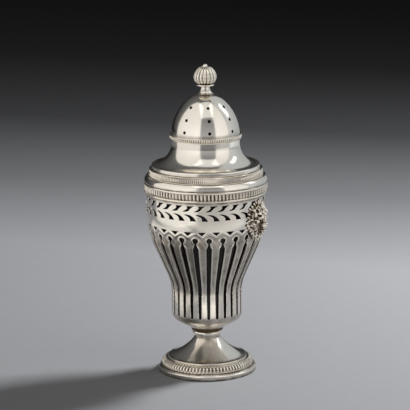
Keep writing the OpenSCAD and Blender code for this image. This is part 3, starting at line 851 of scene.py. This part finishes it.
def makeBodyGadroons(size):
    outer, low, high = turnedBox("body_gadroon_band")
    inner = size["inner"]
    lowFillet = low + size["fillet"]
    highFillet = high - size["fillet"]
    stations = plainRows([
        (inner, low),
        (outer - 0.5, low),
        (outer - 0.2, low + 0.12),
        (outer - 0.1, low + size["fillet"] / 2),
        (outer - 0.2, lowFillet - 0.15),
        (outer - 0.75, lowFillet),
    ])
    base = lowFillet + 0.1
    top = highFillet - 0.1
    for t in shares(8):
        z = base + (top - base) * t
        end = roundEnd(t, size["endShare"])
        crest = outer - 0.05 - 0.5 * (1 - end)
        stations.append(((outer - size["groove"], z), (crest, z), size["barWidth"] * max(0.4, end)))
    stations += plainRows([
        (outer - 0.7, highFillet),
        (outer - 0.1, highFillet + 0.12),
        (outer, high - size["fillet"] / 2),
        (outer, high - 0.2),
        (outer - 0.15, high),
        (inner, high),
        (inner, low),
    ])
    lobedSilver("bodyGadroons", "caster_body", "body_gadroon_band", stations, size["count"], 10)


bodyRim = {"mouth": 34.4, "base": 0.7, "curve": 5.0}


def makeBodyRim(size):
    outer, low, high = turnedBox("body_rim")
    mouth, curve = size["mouth"], size["curve"]
    centre = (outer - curve, low + size["base"])
    end = math.degrees(math.asin((high - centre[1]) / curve))
    points = [(mouth, low)]
    points += softProfile([(outer - 1, low), (outer - 0.05, low, 0.2), (outer, low + size["base"])])
    points += arcPoints(centre, curve, 2, end, 16)
    edge = centre[0] + curve * math.cos(math.radians(end))
    points += softProfile([(edge - 0.3, high), (mouth, high, 0.3), (mouth, low)])[:-1]
    beads = turnedBox("cover_bead_band")[0]
    # the brown at the rim's foot is painted shade, and the brown on its top beside the beads a painted dark
    # reflection
    marks = [(outer, low, 1.3), (beads, high, 1.6)]
    latheSilver("bodyRim", "caster_body", "body_rim", points, marks, 0.8)


makeBodyGadroons(bodyGadroons)
makeBodyRim(bodyRim)
print("body mouldings made")


# Glass liner

liner = {"wall": 1.8, "floor": 3.0, "gap": 0.6}


def makeLiner(size):
    r, low, high = turnedBox("glass_liner")
    inset = body["sheet"] + size["gap"]

    def wallPoints(extra, bottom):
        steep = math.radians(body["bowlSlope"])
        curve = body["bowlCurve"] - inset - extra
        centre = (body["waist"] - body["bowlCurve"], body["waistFoot"])
        bend = centre[1] - curve * math.sin(steep)
        foot = centre[0] + curve * math.cos(steep) - (bend - bottom) * math.tan(steep)
        points = [(0, bottom), (foot - 0.8, bottom), (foot + 0.4, bottom + 0.3)]
        points += arcPoints(centre, curve, -body["bowlSlope"], 0, 8)
        for z in np.linspace(body["waistTop"], high, 34):
            points.append((min(bodyRadius(z) - inset, r) - extra, float(z)))
        return points

    outer = wallPoints(0, low)
    inner = wallPoints(size["wall"], low + size["floor"])
    half = size["wall"] / 2
    edge = arcPoints((r - half, high - half), half, 0, 180, 8)
    points = outer[:-1] + edge + inner[:-1][::-1]
    piece = turnOnLathe("glassLiner", points, steps=160, ring=False)
    finishPiece(piece, "liner", "glass_liner", "dark_glass")


makeLiner(liner)
print("liner made")


# Cover

coverBezel = {"wall": 0.9}


def makeCoverBezel(size):
    r, low, high = turnedBox("cover_bezel")
    inner = r - size["wall"]
    points = softProfile([
        (inner, low, 0.2),
        (r - 0.15, low, 0.3),
        (r, low + 0.8, 0.3),
        (r, high),
        (inner, high),
    ])
    latheSilver("coverBezel", "cover", "cover_bezel", points, [(r, high, 0.6)], 1.5)


coverBeads = {"count": 180, "bore": 29.8, "taper": 0.4, "groove": 0.55}


def makeCoverBeads(size):
    r, low, high = turnedBox("cover_bead_band")
    bore = size["bore"]
    upper = r - size["taper"]
    stations = plainRows([
        (bore, low),
        (r - 0.15, low),
        (r, low + 0.12),
        (r - 0.05, low + 0.35),
        (r - 0.45, low + 0.5),
    ])
    base = low + 0.55
    top = high - 0.55
    for t in shares(6):
        z = base + (top - base) * t
        face = r - 0.05 - size["taper"] * t
        ends = math.sqrt(max(0.05, 1 - abs(2 * t - 1) ** 4))
        stations.append(((face - size["groove"], z), (face - 0.3 * (1 - ends), z), max(0.4, ends)))
    stations += plainRows([
        (upper - 0.4, high - 0.45),
        (upper - 0.05, high - 0.35),
        (upper, high - 0.15),
        (upper - 0.15, high),
        (bore, high),
        (bore, low),
    ])
    lobedSilver("coverBeads", "cover", "cover_bead_band", stations, size["count"], 4)


coverRim = {"bore": 29.8, "round": 0.8}


def makeCoverRim(size):
    r, low, high = turnedBox("cover_rim")
    points = softProfile([
        (size["bore"], low),
        (r - 0.25, low, 0.2),
        (r, low + 0.5, 0.3),
        (r, high, size["round"]),
        (size["bore"], high),
    ], 6)
    marks = [(r - 0.1, low, 0.8), (r - 1.2, high, 0.9)]
    latheSilver("coverRim", "cover", "cover_rim", points, marks, 0.45)


coverSkirt = {"curve": 13.0, "neck": 21.3, "wall": 0.9}


def makeCoverSkirt(size):
    r, low, high = turnedBox("cover_skirt")
    neck, curve = size["neck"], size["curve"]
    away = neck + curve - r
    centre = (neck + curve, low + math.sqrt(curve**2 - away**2))
    start = 180 + math.degrees(math.acos(away / curve))
    outer = arcPoints(centre, curve, start, 180, 26)
    inner = arcPoints(centre, curve + size["wall"], start, 180, 26)
    inner = [p for p in inner if p[1] > low + 0.25]
    points = [(r - 0.1, low), (r, low + 0.12)] + outer[1:]
    points += [(neck, high), (neck - size["wall"], high)]
    points += inner[::-1] + [(inner[0][0], low)]
    marks = [(r, low, 0.9), (neck, high - 1.7, 0.8)]
    latheSilver("coverSkirt", "cover", "cover_skirt", points, marks, 0.8)


coverRing = {"count": 96, "inner": 21.35, "groove": 0.7}


def makeCoverRing(size):
    r, low, high = turnedBox("cover_mid_ring")
    inner = size["inner"]
    fillet = [(r - 0.75, 0), (r - 0.5, 0.15), (r - 0.48, 0.4), (r - 0.7, 0.6)]  # the same above and below
    stations = plainRows([(inner, low)] + [(x, low + up) for x, up in fillet])
    base = low + 0.7
    top = high - 0.7
    for t in shares(8):
        swell = math.sqrt(max(0, 1 - (2 * t - 1) ** 2))
        z = base + (top - base) * t
        crest = r - size["groove"] * (1 - swell)
        stations.append(((r - size["groove"], z), (crest, z), max(0.3, swell)))
    stations += plainRows([(x, high - up) for x, up in fillet[::-1]] + [(inner, high), (inner, low)])
    lobedSilver("coverRing", "cover", "cover_mid_ring", stations, size["count"], 6)


coverDome = {
    "radius": 21.3, "sideCurve": 30.5, "sideHeight": 21.6, "crownCurve": 17.5, "wall": 0.9,
    "topWall": 1.2, "studHole": 1.35, "finialFoot": 5.3, "holes": 8, "holeTurn": -6, "holeSize": 2.0,
    "holeHeights": (4.8, 12.1, 19.4), "drillLength": 6,
}


def makeCoverDome(size):
    low, high = turnedBox("cover_dome")[1:]
    sideCurve, crownCurve = size["sideCurve"], size["crownCurve"]
    lean = math.asin(size["sideHeight"] / sideCurve)
    tilt = math.degrees(lean)
    side = (size["radius"] - sideCurve, low)
    crown = onCircle(side, sideCurve - crownCurve, tilt)

    def wallArc(inset, top):
        end = math.degrees(math.asin((top - crown[1]) / (crownCurve - inset)))
        points = arcPoints(side, sideCurve - inset, 0, tilt, 20)
        return points + arcPoints(crown, crownCurve - inset, tilt, end, 40)[1:]

    inside = high - size["topWall"]
    points = wallArc(0, high) + [(size["studHole"], high), (size["studHole"], inside)]
    points += wallArc(size["wall"], inside)[::-1]
    piece = turnOnLathe("coverDome", points, steps=224)

    clearSelection()
    bpy.ops.mesh.primitive_cylinder_add(
        vertices=28, radius=size["holeSize"] / 2 * mm, depth=size["drillLength"] * mm
    )
    drill = bpy.context.object
    drills = []
    for column in range(size["holes"]):
        for up in size["holeHeights"]:
            rise = math.asin(up / sideCurve)
            turn = math.radians(size["holeTurn"] + column * 360 / size["holes"])
            reach, height = onCircle(side, sideCurve - 0.5, math.degrees(rise))
            copy = ownCopy(drill)
            place = Matrix.Rotation(turn, 4, "Z") @ Matrix.Translation((reach * mm, 0, height * mm))
            copy.data.transform(place @ Matrix.Rotation(math.pi / 2 - rise, 4, "Y"))
            drills.append(copy)
    bpy.data.objects.remove(drill)
    allDrills = joinAll(drills)
    applyModifier(piece, "BOOLEAN", operation="DIFFERENCE", solver="EXACT", object=allDrills)
    bpy.data.objects.remove(allDrills)
    tarnishAndShadeAlong(piece, [(size["radius"], low + 1.7, 0.9), (size["finialFoot"], high, 0.8)], 0.7)
    finishPiece(piece, "cover", "cover_dome", "polished_silver", smooth=35, weighted=False)

    def domeNormal(co):
        r = math.hypot(co.x, co.y)
        flatWay = Vector((co.x / r, co.y / r)) if r else Vector((0, 0))
        centre = side if co.z / mm < crown[1] + crownCurve * math.sin(lean) else crown
        out = Vector((r / mm - centre[0], co.z / mm - centre[1])).normalized()
        return Vector((flatWay.x * out.x, flatWay.y * out.x, out.y))

    setTrueNormals(piece, domeNormal, 0.9)


makeCoverBezel(coverBezel)
makeCoverBeads(coverBeads)
makeCoverRim(coverRim)
makeCoverSkirt(coverSkirt)
makeCoverRing(coverRing)
makeCoverDome(coverDome)
print("cover made")


# Finial

finialNeck = {
    "foot": 5.2, "footHeight": 0.9, "flare": 3.6, "neck": 2.9, "neckHeight": 4.2, "plate": 5.7,
    "bore": 1.35,
}


def makeFinialNeck(size):
    low, high = turnedBox("finial_neck")[1:]
    foot, neck, plate = size["foot"], size["neck"], size["plate"]
    neckLow = low + size["footHeight"]
    plateLow = neckLow + size["neckHeight"]
    points = [(size["bore"], low)]
    points += softProfile([(foot - 1, low), (foot, low, 0.1), (foot, low + 0.3, 0.1)])
    start, pull, end = (foot - 0.2, low + 0.4), (neck + 0.7, low + 1.1), (neck, low + size["flare"])
    for t in shares(12):  # the neck spreads towards the dome
        points.append(tuple(pulledPoint(a, b, c, t) for a, b, c in zip(start, pull, end)))
    points += softProfile([
        (neck - 0.05, plateLow - 0.5, 0.3),
        (neck + 1, plateLow, 0.3),
        (plate - 0.4, plateLow + 0.1, 0.2),
        (plate, plateLow + 0.6, 0.3),
        (plate - 0.3, high, 0.2),
        (size["bore"], high),
    ])
    marks = [(foot, low, 0.8), (neck, neckLow + 1.2, 0.5), (neck + 0.6, plateLow, 0.9)]
    latheSilver("finialNeck", "cover", "finial_neck", points, marks, 0.9, steps=96, weighted=False)


finialKnob = {
    "lobes": 18, "radius": 7.2, "height": 11.0,
    "settle": 1.22,  # the knob is widest under its middle
    "taper": 0.07, "bud": 1.6, "groove": 0.95, "bore": 1.35, "boreDepth": 5.1,
}


def makeFinialKnob(size):
    low, high = turnedBox("finial_knob")[1:]
    height = size["height"]
    half = height / 2
    middle = (size["radius"] - half, low + half)
    boreTop = low + size["boreDepth"]

    def settled(point):
        t = min(1, max(0, (point[1] - low) / height))
        narrowed = point[0] * (1 - size["taper"] * smoothStep(0.45, 1, t))
        return narrowed, low + height * t ** size["settle"]

    stations = plainRows([(0, boreTop), (size["bore"], boreTop), (size["bore"], low)])
    rows = 22
    for i in range(rows + 1):
        tilt = -88 + 170 * i / rows
        lift = math.sin(math.pi * (i + 0.4) / (rows + 0.8))
        crest = settled(onCircle(middle, half, tilt))
        groove = settled(onCircle(middle, half - size["groove"] * lift**0.7, tilt))
        stations.append((groove, crest, 1))
    bud = arcPoints((0, high - size["bud"]), size["bud"], -20, 90, 7)
    stations += plainRows(bud[:-1] + [(0, bud[-1][1])])
    lobedSilver("finialKnob", "cover", "finial_knob", stations, size["lobes"], 10)


makeFinialNeck(finialNeck)
makeFinialKnob(finialKnob)
print("finial made")


# Lion masks

lionMask = {
    "voxel": 0.26,
    "sunk": 0.35,  # how far the back lies under the body's plain surface
    # lumps: across, up, out of the body, the three radii and the lean; those off the middle are mirrored
    "lumps": [
        (0, 1.6, 0, 7.6, 9.2, 3.6, 0),
        (3.5, -0.6, 1.3, 1.7, 1.5, 2.1, 0),
        (2.2, 3.6, 4.7, 1.9, 0.8, 1.3, 8),
        (2.3, 2.3, 4.3, 0.85, 0.65, 0.8, 0),
        (0, 1.6, 4.8, 1.2, 3.0, 1.7, 0),
        (0, -1.4, 4.8, 2.5, 1.8, 2.6, 0),
        (1.25, -2.1, 6.0, 1.35, 1.2, 1.5, 0),
        (0, -0.4, 6.9, 1.2, 0.75, 1.0, 0),
        (0, -5.0, 4.0, 1.8, 0.85, 2.6, 0),
        (0, -6.3, 4.3, 1.2, 1.3, 1.4, 0),
        (6.2, 5.6, 3.2, 1.2, 1.7, 1.1, 0),
    ],
    # wavy strands on the cheeks and under the face: across, up, out of the body and the lean of each
    "strands": [
        (2.9, -4.8, 2.3, 6),
        (4.3, -3.3, 2.4, 12),
        (5.7, -1.6, 2.2, 18),
        (6.7, 0.6, 1.7, 22),
        (0, -9.6, 2.2, 0),
        (1.7, -9.2, 1.6, 5),
        (3.3, -8.3, 2.1, 10),
        (4.8, -7.2, 1.4, 15),
        (6.3, -5.8, 1.6, 20),
        (7.7, -4.3, 0.9, 24),
        (8.9, -2.4, 0.5, 26),
    ],
    "wave": {"links": 5, "step": 1.2, "swing": 0.28, "lean": 30, "radii": (1.0, 0.5, 0.95), "taper": 0.12},
    # rows of hair: how many, the oval they stand on, how far out, their size; tufts are long, curls are rings
    "rows": [
        {"count": 17, "oval": (9.1, 11.0), "out": 0.5, "tuft": (0.62, 1.75), "from": -10, "to": 190},
        {"count": 12, "oval": (7.3, 9.2), "out": 1.9, "ring": 0.68, "thick": 0.42, "from": -12, "to": 192},
        {"count": 13, "oval": (5.9, 7.8), "out": 2.9, "tuft": (0.55, 1.6), "from": -8, "to": 188},
        {"count": 8, "oval": (4.5, 6.3), "out": 3.9, "ring": 0.62, "thick": 0.4, "from": -4, "to": 184},
        {"count": 5, "oval": (2.5, 4.9), "out": 4.7, "tuft": (0.55, 1.3), "from": 20, "to": 160},
    ],
    "curlMiddle": 1.2, "seed": 4,
    # brown of the level surface, more of it in the lower half, and more for each millimetre of depth
    "brown": {"level": 0.84, "lower": 0.22, "lowerReach": 6, "depth": 3.8, "least": 0.02, "most": 1.15},
}


def addLump(place, radii, lean=0):
    bpy.ops.mesh.primitive_uv_sphere_add(
        segments=20, ring_count=12, radius=mm, location=place * mm, rotation=(math.radians(lean), 0, 0),
        scale=radii,
    )
    return bpy.context.object


def addCurl(place, outward, ring, thick):  # a small ring of hair, its hole facing out
    bpy.ops.mesh.primitive_torus_add(
        major_radius=ring * mm, minor_radius=thick * mm, major_segments=18, minor_segments=10,
        location=place * mm, rotation=outward.to_track_quat("Z", "Y").to_euler(),
    )
    return bpy.context.object


def makeLionMask(size):
    low, high = turnedBox("lion_mask_right")[1:]
    middle = (low + high) / 2

    def place(across, up, out):  # the face follows the round of the body
        reach = math.sqrt(bodyRadius(middle + up) ** 2 - across**2)
        return Vector((reach + out, across, middle + up))

    clearSelection()
    chance = random.Random(size["seed"])
    lumps = []
    for across, up, out, wide, tall, deep, lean in size["lumps"]:
        for side in (1, -1) if across else (1,):
            lumps.append(addLump(place(across * side, up, out), (deep, wide, tall), -lean * side))
    wave = size["wave"]
    for across, up, out, lean in size["strands"]:
        slant = math.radians(lean)
        for side in (1, -1) if across else (1,):
            for i in range(wave["links"]):
                along = (i - (wave["links"] - 1) / 2) * wave["step"]
                swing = wave["swing"] * (-1) ** i
                x = across + math.sin(slant) * along + math.cos(slant) * swing
                z = up + math.cos(slant) * along - math.sin(slant) * swing
                tip = -lean * side + wave["lean"] * side * (-1) ** i
                taper = 1 - wave["taper"] * abs(i - wave["links"] // 2)
                radii = tuple(r * taper for r in wave["radii"])
                lumps.append(addLump(place(x * side, z, out), radii, tip))
    for row in size["rows"]:
        for i in range(row["count"]):
            turn = math.radians(row["from"] + (row["to"] - row["from"]) * i / (row["count"] - 1))
            across = row["oval"][0] * math.cos(turn)
            up = size["curlMiddle"] + row["oval"][1] * math.sin(turn)
            across += chance.uniform(-0.45, 0.45)  # no two curls alike
            up += chance.uniform(-0.5, 0.5)
            out = row["out"] + chance.uniform(-0.35, 0.25)
            grown = chance.uniform(0.75, 1.2)
            if "tuft" in row:
                wide, long = row["tuft"]
                lean = math.degrees(turn) - 90 + chance.uniform(-16, 16)
                lumps.append(addLump(place(across, up, out), (1.1, wide * grown, long * grown), lean))
                continue
            ring = row["ring"] * grown
            outward = Vector((1, 0.7 * math.cos(turn), 0.7 * math.sin(turn)))
            lumps.append(addCurl(place(across, up, out), outward, ring, row["thick"]))
            lumps.append(addLump(place(across, up, out - 0.7), (1.4, ring, ring)))  # closes the ring's hole
    piece = joinAll(lumps)
    bpy.ops.object.transform_apply(location=True, rotation=True, scale=True)
    applyModifier(piece, "REMESH", mode="VOXEL", voxel_size=size["voxel"] * mm)
    applyModifier(piece, "SMOOTH", factor=0.5, iterations=2)
    for v in piece.data.vertices:  # the back is laid on the body
        seat = (bodyRadius(v.co.z / mm) - size["sunk"]) * mm
        reach = math.hypot(v.co.x, v.co.y)
        if reach < seat:
            v.co.x *= seat / reach
            v.co.y *= seat / reach
    piece.data.update()
    tarnishHollows(piece, size["brown"])
    return piece


def tarnishHollows(piece, size):  # brown where the surface lies deeper than the surface round about
    mesh = piece.data
    count = len(mesh.vertices)
    spots = np.zeros(count * 3)
    mesh.vertices.foreach_get("co", spots)
    spots = spots.reshape(-1, 3) / mm
    ends = np.zeros(len(mesh.edges) * 2, int)
    mesh.edges.foreach_get("vertices", ends)
    a, b = ends[0::2], ends[1::2]
    neighbours = np.maximum(np.bincount(a, minlength=count) + np.bincount(b, minlength=count), 1)

    def spread(values, times):
        for step in range(times):
            total = np.bincount(a, values[b], count) + np.bincount(b, values[a], count)
            values = (values + total / neighbours) / 2
        return values

    reach = np.hypot(spots[:, 0], spots[:, 1])
    stand = reach - np.array([bodyRadius(z) for z in spots[:, 2]])
    depth = spread(stand, 90) - spread(stand, 2)
    lower = np.clip((spots[:, 2].mean() - spots[:, 2]) / size["lowerReach"], 0, 1)
    brown = size["level"] + size["lower"] * lower + depth * size["depth"]
    newTarnishAndShade(piece).data.foreach_set("value", np.clip(brown, size["least"], size["most"]))


def makeLionMasks(size):
    right = makeLionMask(size)
    nameBoth(right, "lionMaskRight")
    left = ownCopy(right)
    nameBoth(left, "lionMaskLeft")
    left.data.transform(Matrix.Rotation(math.pi, 4, "Z"))
    for piece, node in ((right, "lion_mask_right"), (left, "lion_mask_left")):
        finishPiece(piece, "caster_body", node, "tarnished_silver", smooth=70, weighted=False)
    print("lion masks:", len(right.data.polygons), "faces each")


makeLionMasks(lionMask)
for name in ("finial_stud", "finial_nut"):
    node = frame["nodes"][name]
    node.data.materials.clear()
    node.data.materials.append(polishedSilver)


# Stage, light and camera

viewTurn = 32  # degrees the camera stands round from the front


def roundFromFront(degrees, distance, height):  # a place round the object
    turn = math.radians(degrees)
    return Vector((distance * math.sin(turn), -distance * math.cos(turn), height))


toCamera = roundFromFront(viewTurn, 1, 0)
stage = {
    "floorRadius": 6.0,
    # grey of the floor, darkened away from the camera as painted shade, at distances from the object, in
    # metres away from the camera
    "floorGreysAndShade": [
        (-0.5, 0.325),
        (0.05, 0.33),
        (0.28, 0.33),
        (0.52, 0.16),
        (0.8, 0.053),
        (1.2, 0.016),
        (1.75, 0.004),
    ],
    "floorTurn": 20,  # the painted shade falls off to the right as well
    "floorTint": (0.98, 0.985, 1.02),
    "grain": {"scale": (70, 900, 1), "low": 0.955, "high": 1.045},  # streaks of the paper, across the picture
    "worldFront": 0.45, "worldBack": 0.01, "worldTop": 0.13, "worldColour": (0.975, 0.985, 1, 1),
}


def makeFloor(size):
    clearSelection()
    bpy.ops.mesh.primitive_circle_add(
        vertices=96, radius=size["floorRadius"], fill_type="NGON", location=(0, 0, -0.00005)
    )
    floor = bpy.context.object
    floor.name = "floor"
    material, tree, shader = newMaterial("paleFloor")
    greys, grain = size["floorGreysAndShade"], size["grain"]
    nearest, farthest = greys[0][0], greys[-1][0]
    place = addNode(tree, "TexCoord")
    darker = Matrix.Rotation(-math.radians(size["floorTurn"]), 3, "Z") @ -toCamera
    away = addNode(tree, "VectorMath", {0: place.outputs["Object"], 1: darker}, operation="DOT_PRODUCT")
    spread = addNode(tree, "MapRange", {"Value": away, "From Min": nearest, "From Max": farthest})
    # the ramp paints the fall of the light across the floor
    ramp = addNode(tree, "ValToRGB", {"Fac": spread})
    stops = ramp.color_ramp.elements
    while len(stops) < len(greys):
        stops.new(0.5)
    for stop, (where, grey) in zip(stops, greys):
        stop.position = (where - nearest) / (farthest - nearest)
        stop.color = (*(grey * tint for tint in size["floorTint"]), 1)
    streaks = addNode(tree, "Mapping", {
        "Vector": place.outputs["Object"], "Rotation": (0, 0, -math.radians(viewTurn)),
        "Scale": grain["scale"],
    })
    fibres = addNode(tree, "TexNoise", {"Vector": streaks, "Scale": 1, "Detail": 3})
    uneven = addNode(tree, "MapRange", {
        "Value": fibres, "From Min": 0.25, "From Max": 0.75, "To Min": grain["low"],
        "To Max": grain["high"],
    })
    shade = addNode(tree, "VectorMath", {"Vector": ramp, "Scale": uneven}, operation="SCALE")
    fillNode(tree, shader, {"Base Color": shade, "Roughness": 0.8, "Specular IOR Level": 0.2})
    floor.data.materials.append(material)


def makeWorld(size):  # grey studio, lighter on the camera's side
    world = bpy.data.worlds.new("studio")
    bpy.context.scene.world = world
    world.use_nodes = True
    tree = world.node_tree
    place = addNode(tree, "TexCoord")
    front = addNode(tree, "VectorMath", {0: place.outputs["Generated"], 1: toCamera}, operation="DOT_PRODUCT")
    spread = addNode(tree, "MapRange", {
        "Value": front, "From Min": -0.9, "From Max": 0.9, "To Min": size["worldBack"],
        "To Max": size["worldFront"],
    })
    split = addNode(tree, "SeparateXYZ", {"Vector": place.outputs["Generated"]})
    mix = addNode(tree, "Mix", {"Factor": split.outputs["Z"], "A": spread, "B": size["worldTop"]})
    fillNode(tree, tree.nodes["Background"], {"Strength": mix, "Color": size["worldColour"]})


# turn is measured round from the camera, to the right; power is per square metre; cards lie on the floor,
# face up and out of the picture; a lamp for the metal alone doesn't light the floor
softboxes = {
    "left": {
        "turn": -63, "distance": 0.33, "height": 0.65, "size": (0.68, 1.4),
        "power": 2.15, "colour": (1.0, 0.97, 0.92), "metalOnly": True,
    },
    "right": {
        "turn": 58, "distance": 0.45, "height": 0.82, "size": (0.42, 1.5),
        "power": 2.1, "colour": (1.0, 0.975, 0.93),
    },
    "rightBack": {
        "turn": 123, "distance": 0.5, "height": 0.78, "size": (0.78, 1.5),
        "power": 1.35, "colour": (0.9, 0.96, 1.0), "metalOnly": True,
    },
    "front": {
        "turn": 8, "distance": 0.42, "height": 1.2, "aim": 0.15, "size": (0.85, 0.95),
        "power": 2.0, "colour": (1.0, 0.985, 0.96), "metalOnly": True,
    },
    "frontCard": {
        "turn": 22, "distance": 0.39, "height": 0.002, "faceUp": True, "size": (0.72, 0.34),
        "power": 1.0, "colour": (1.0, 0.955, 0.87), "metalOnly": True,
    },
    "nearCard": {
        "turn": 8, "distance": 0.178, "height": 0.002, "faceUp": True, "size": (0.17, 0.055),
        "power": 2.9, "colour": (1.0, 0.955, 0.87), "metalOnly": True,
    },
    "leftCard": {
        "turn": -82, "distance": 0.235, "height": 0.002, "faceUp": True, "size": (0.5, 0.15),
        "power": 1.5, "colour": (1.0, 0.965, 0.9), "metalOnly": True,
    },
    "glint": {
        "turn": 108, "distance": 0.9, "height": 0.8, "aim": 0.1, "size": (0.22, 0.5),
        "power": 4.5, "colour": (0.96, 0.98, 1.0), "metalOnly": True,
    },
    "key": {  # throws the shadow, and doesn't show in the metal
        "turn": 122, "distance": 0.9, "height": 0.85, "aim": 0.1, "size": (0.26, 0.26),
        "power": 305, "colour": (0.97, 0.985, 1.0), "floorOnly": True,
    },
}


def makeSoftbox(name, size):
    light = bpy.data.lights.new(name, "AREA")
    light.shape = "RECTANGLE"
    light.size, light.size_y = size["size"]
    light.energy = size["power"] * light.size * light.size_y
    light.color = size["colour"]
    box = bpy.data.objects.new(name, light)
    bpy.context.collection.objects.link(box)
    turn = viewTurn + size["turn"]
    where = roundFromFront(turn, size["distance"], size["height"])
    aim = Vector((0, 0, size.get("aim", size["height"])))
    box.location = where
    box.rotation_euler = (aim - where).to_track_quat("-Z", "Y").to_euler()
    if "faceUp" in size:
        box.rotation_euler = (math.pi, 0, math.radians(turn))
    box.visible_camera = False
    box.visible_glossy = "floorOnly" not in size
    box.visible_diffuse = "metalOnly" not in size


camera = {"distance": 1.39, "height": 0.41, "pitch": 12.37, "roll": -0.5, "yaw": 0.03, "lens": 200.98}


def makeCamera(size):
    data = bpy.data.cameras.new("camera")
    data.lens = size["lens"]
    data.sensor_width = 36
    data.clip_start = 0.05
    view = bpy.data.objects.new("camera", data)
    bpy.context.collection.objects.link(view)
    spin = Matrix.Rotation(math.radians(viewTurn) + math.radians(size["yaw"]), 4, "Z")
    tip = Matrix.Rotation(math.radians(90 - size["pitch"]), 4, "X")
    roll = Matrix.Rotation(math.radians(size["roll"]), 4, "Z")
    spot = roundFromFront(viewTurn, size["distance"], size["height"])
    view.matrix_world = Matrix.Translation(spot) @ spin @ tip @ roll
    bpy.context.scene.camera = view


makeFloor(stage)
makeWorld(stage)
for name, size in softboxes.items():
    makeSoftbox(name, size)
makeCamera(camera)
bpy.context.scene.view_settings.view_transform = "Standard"
print("stage made")
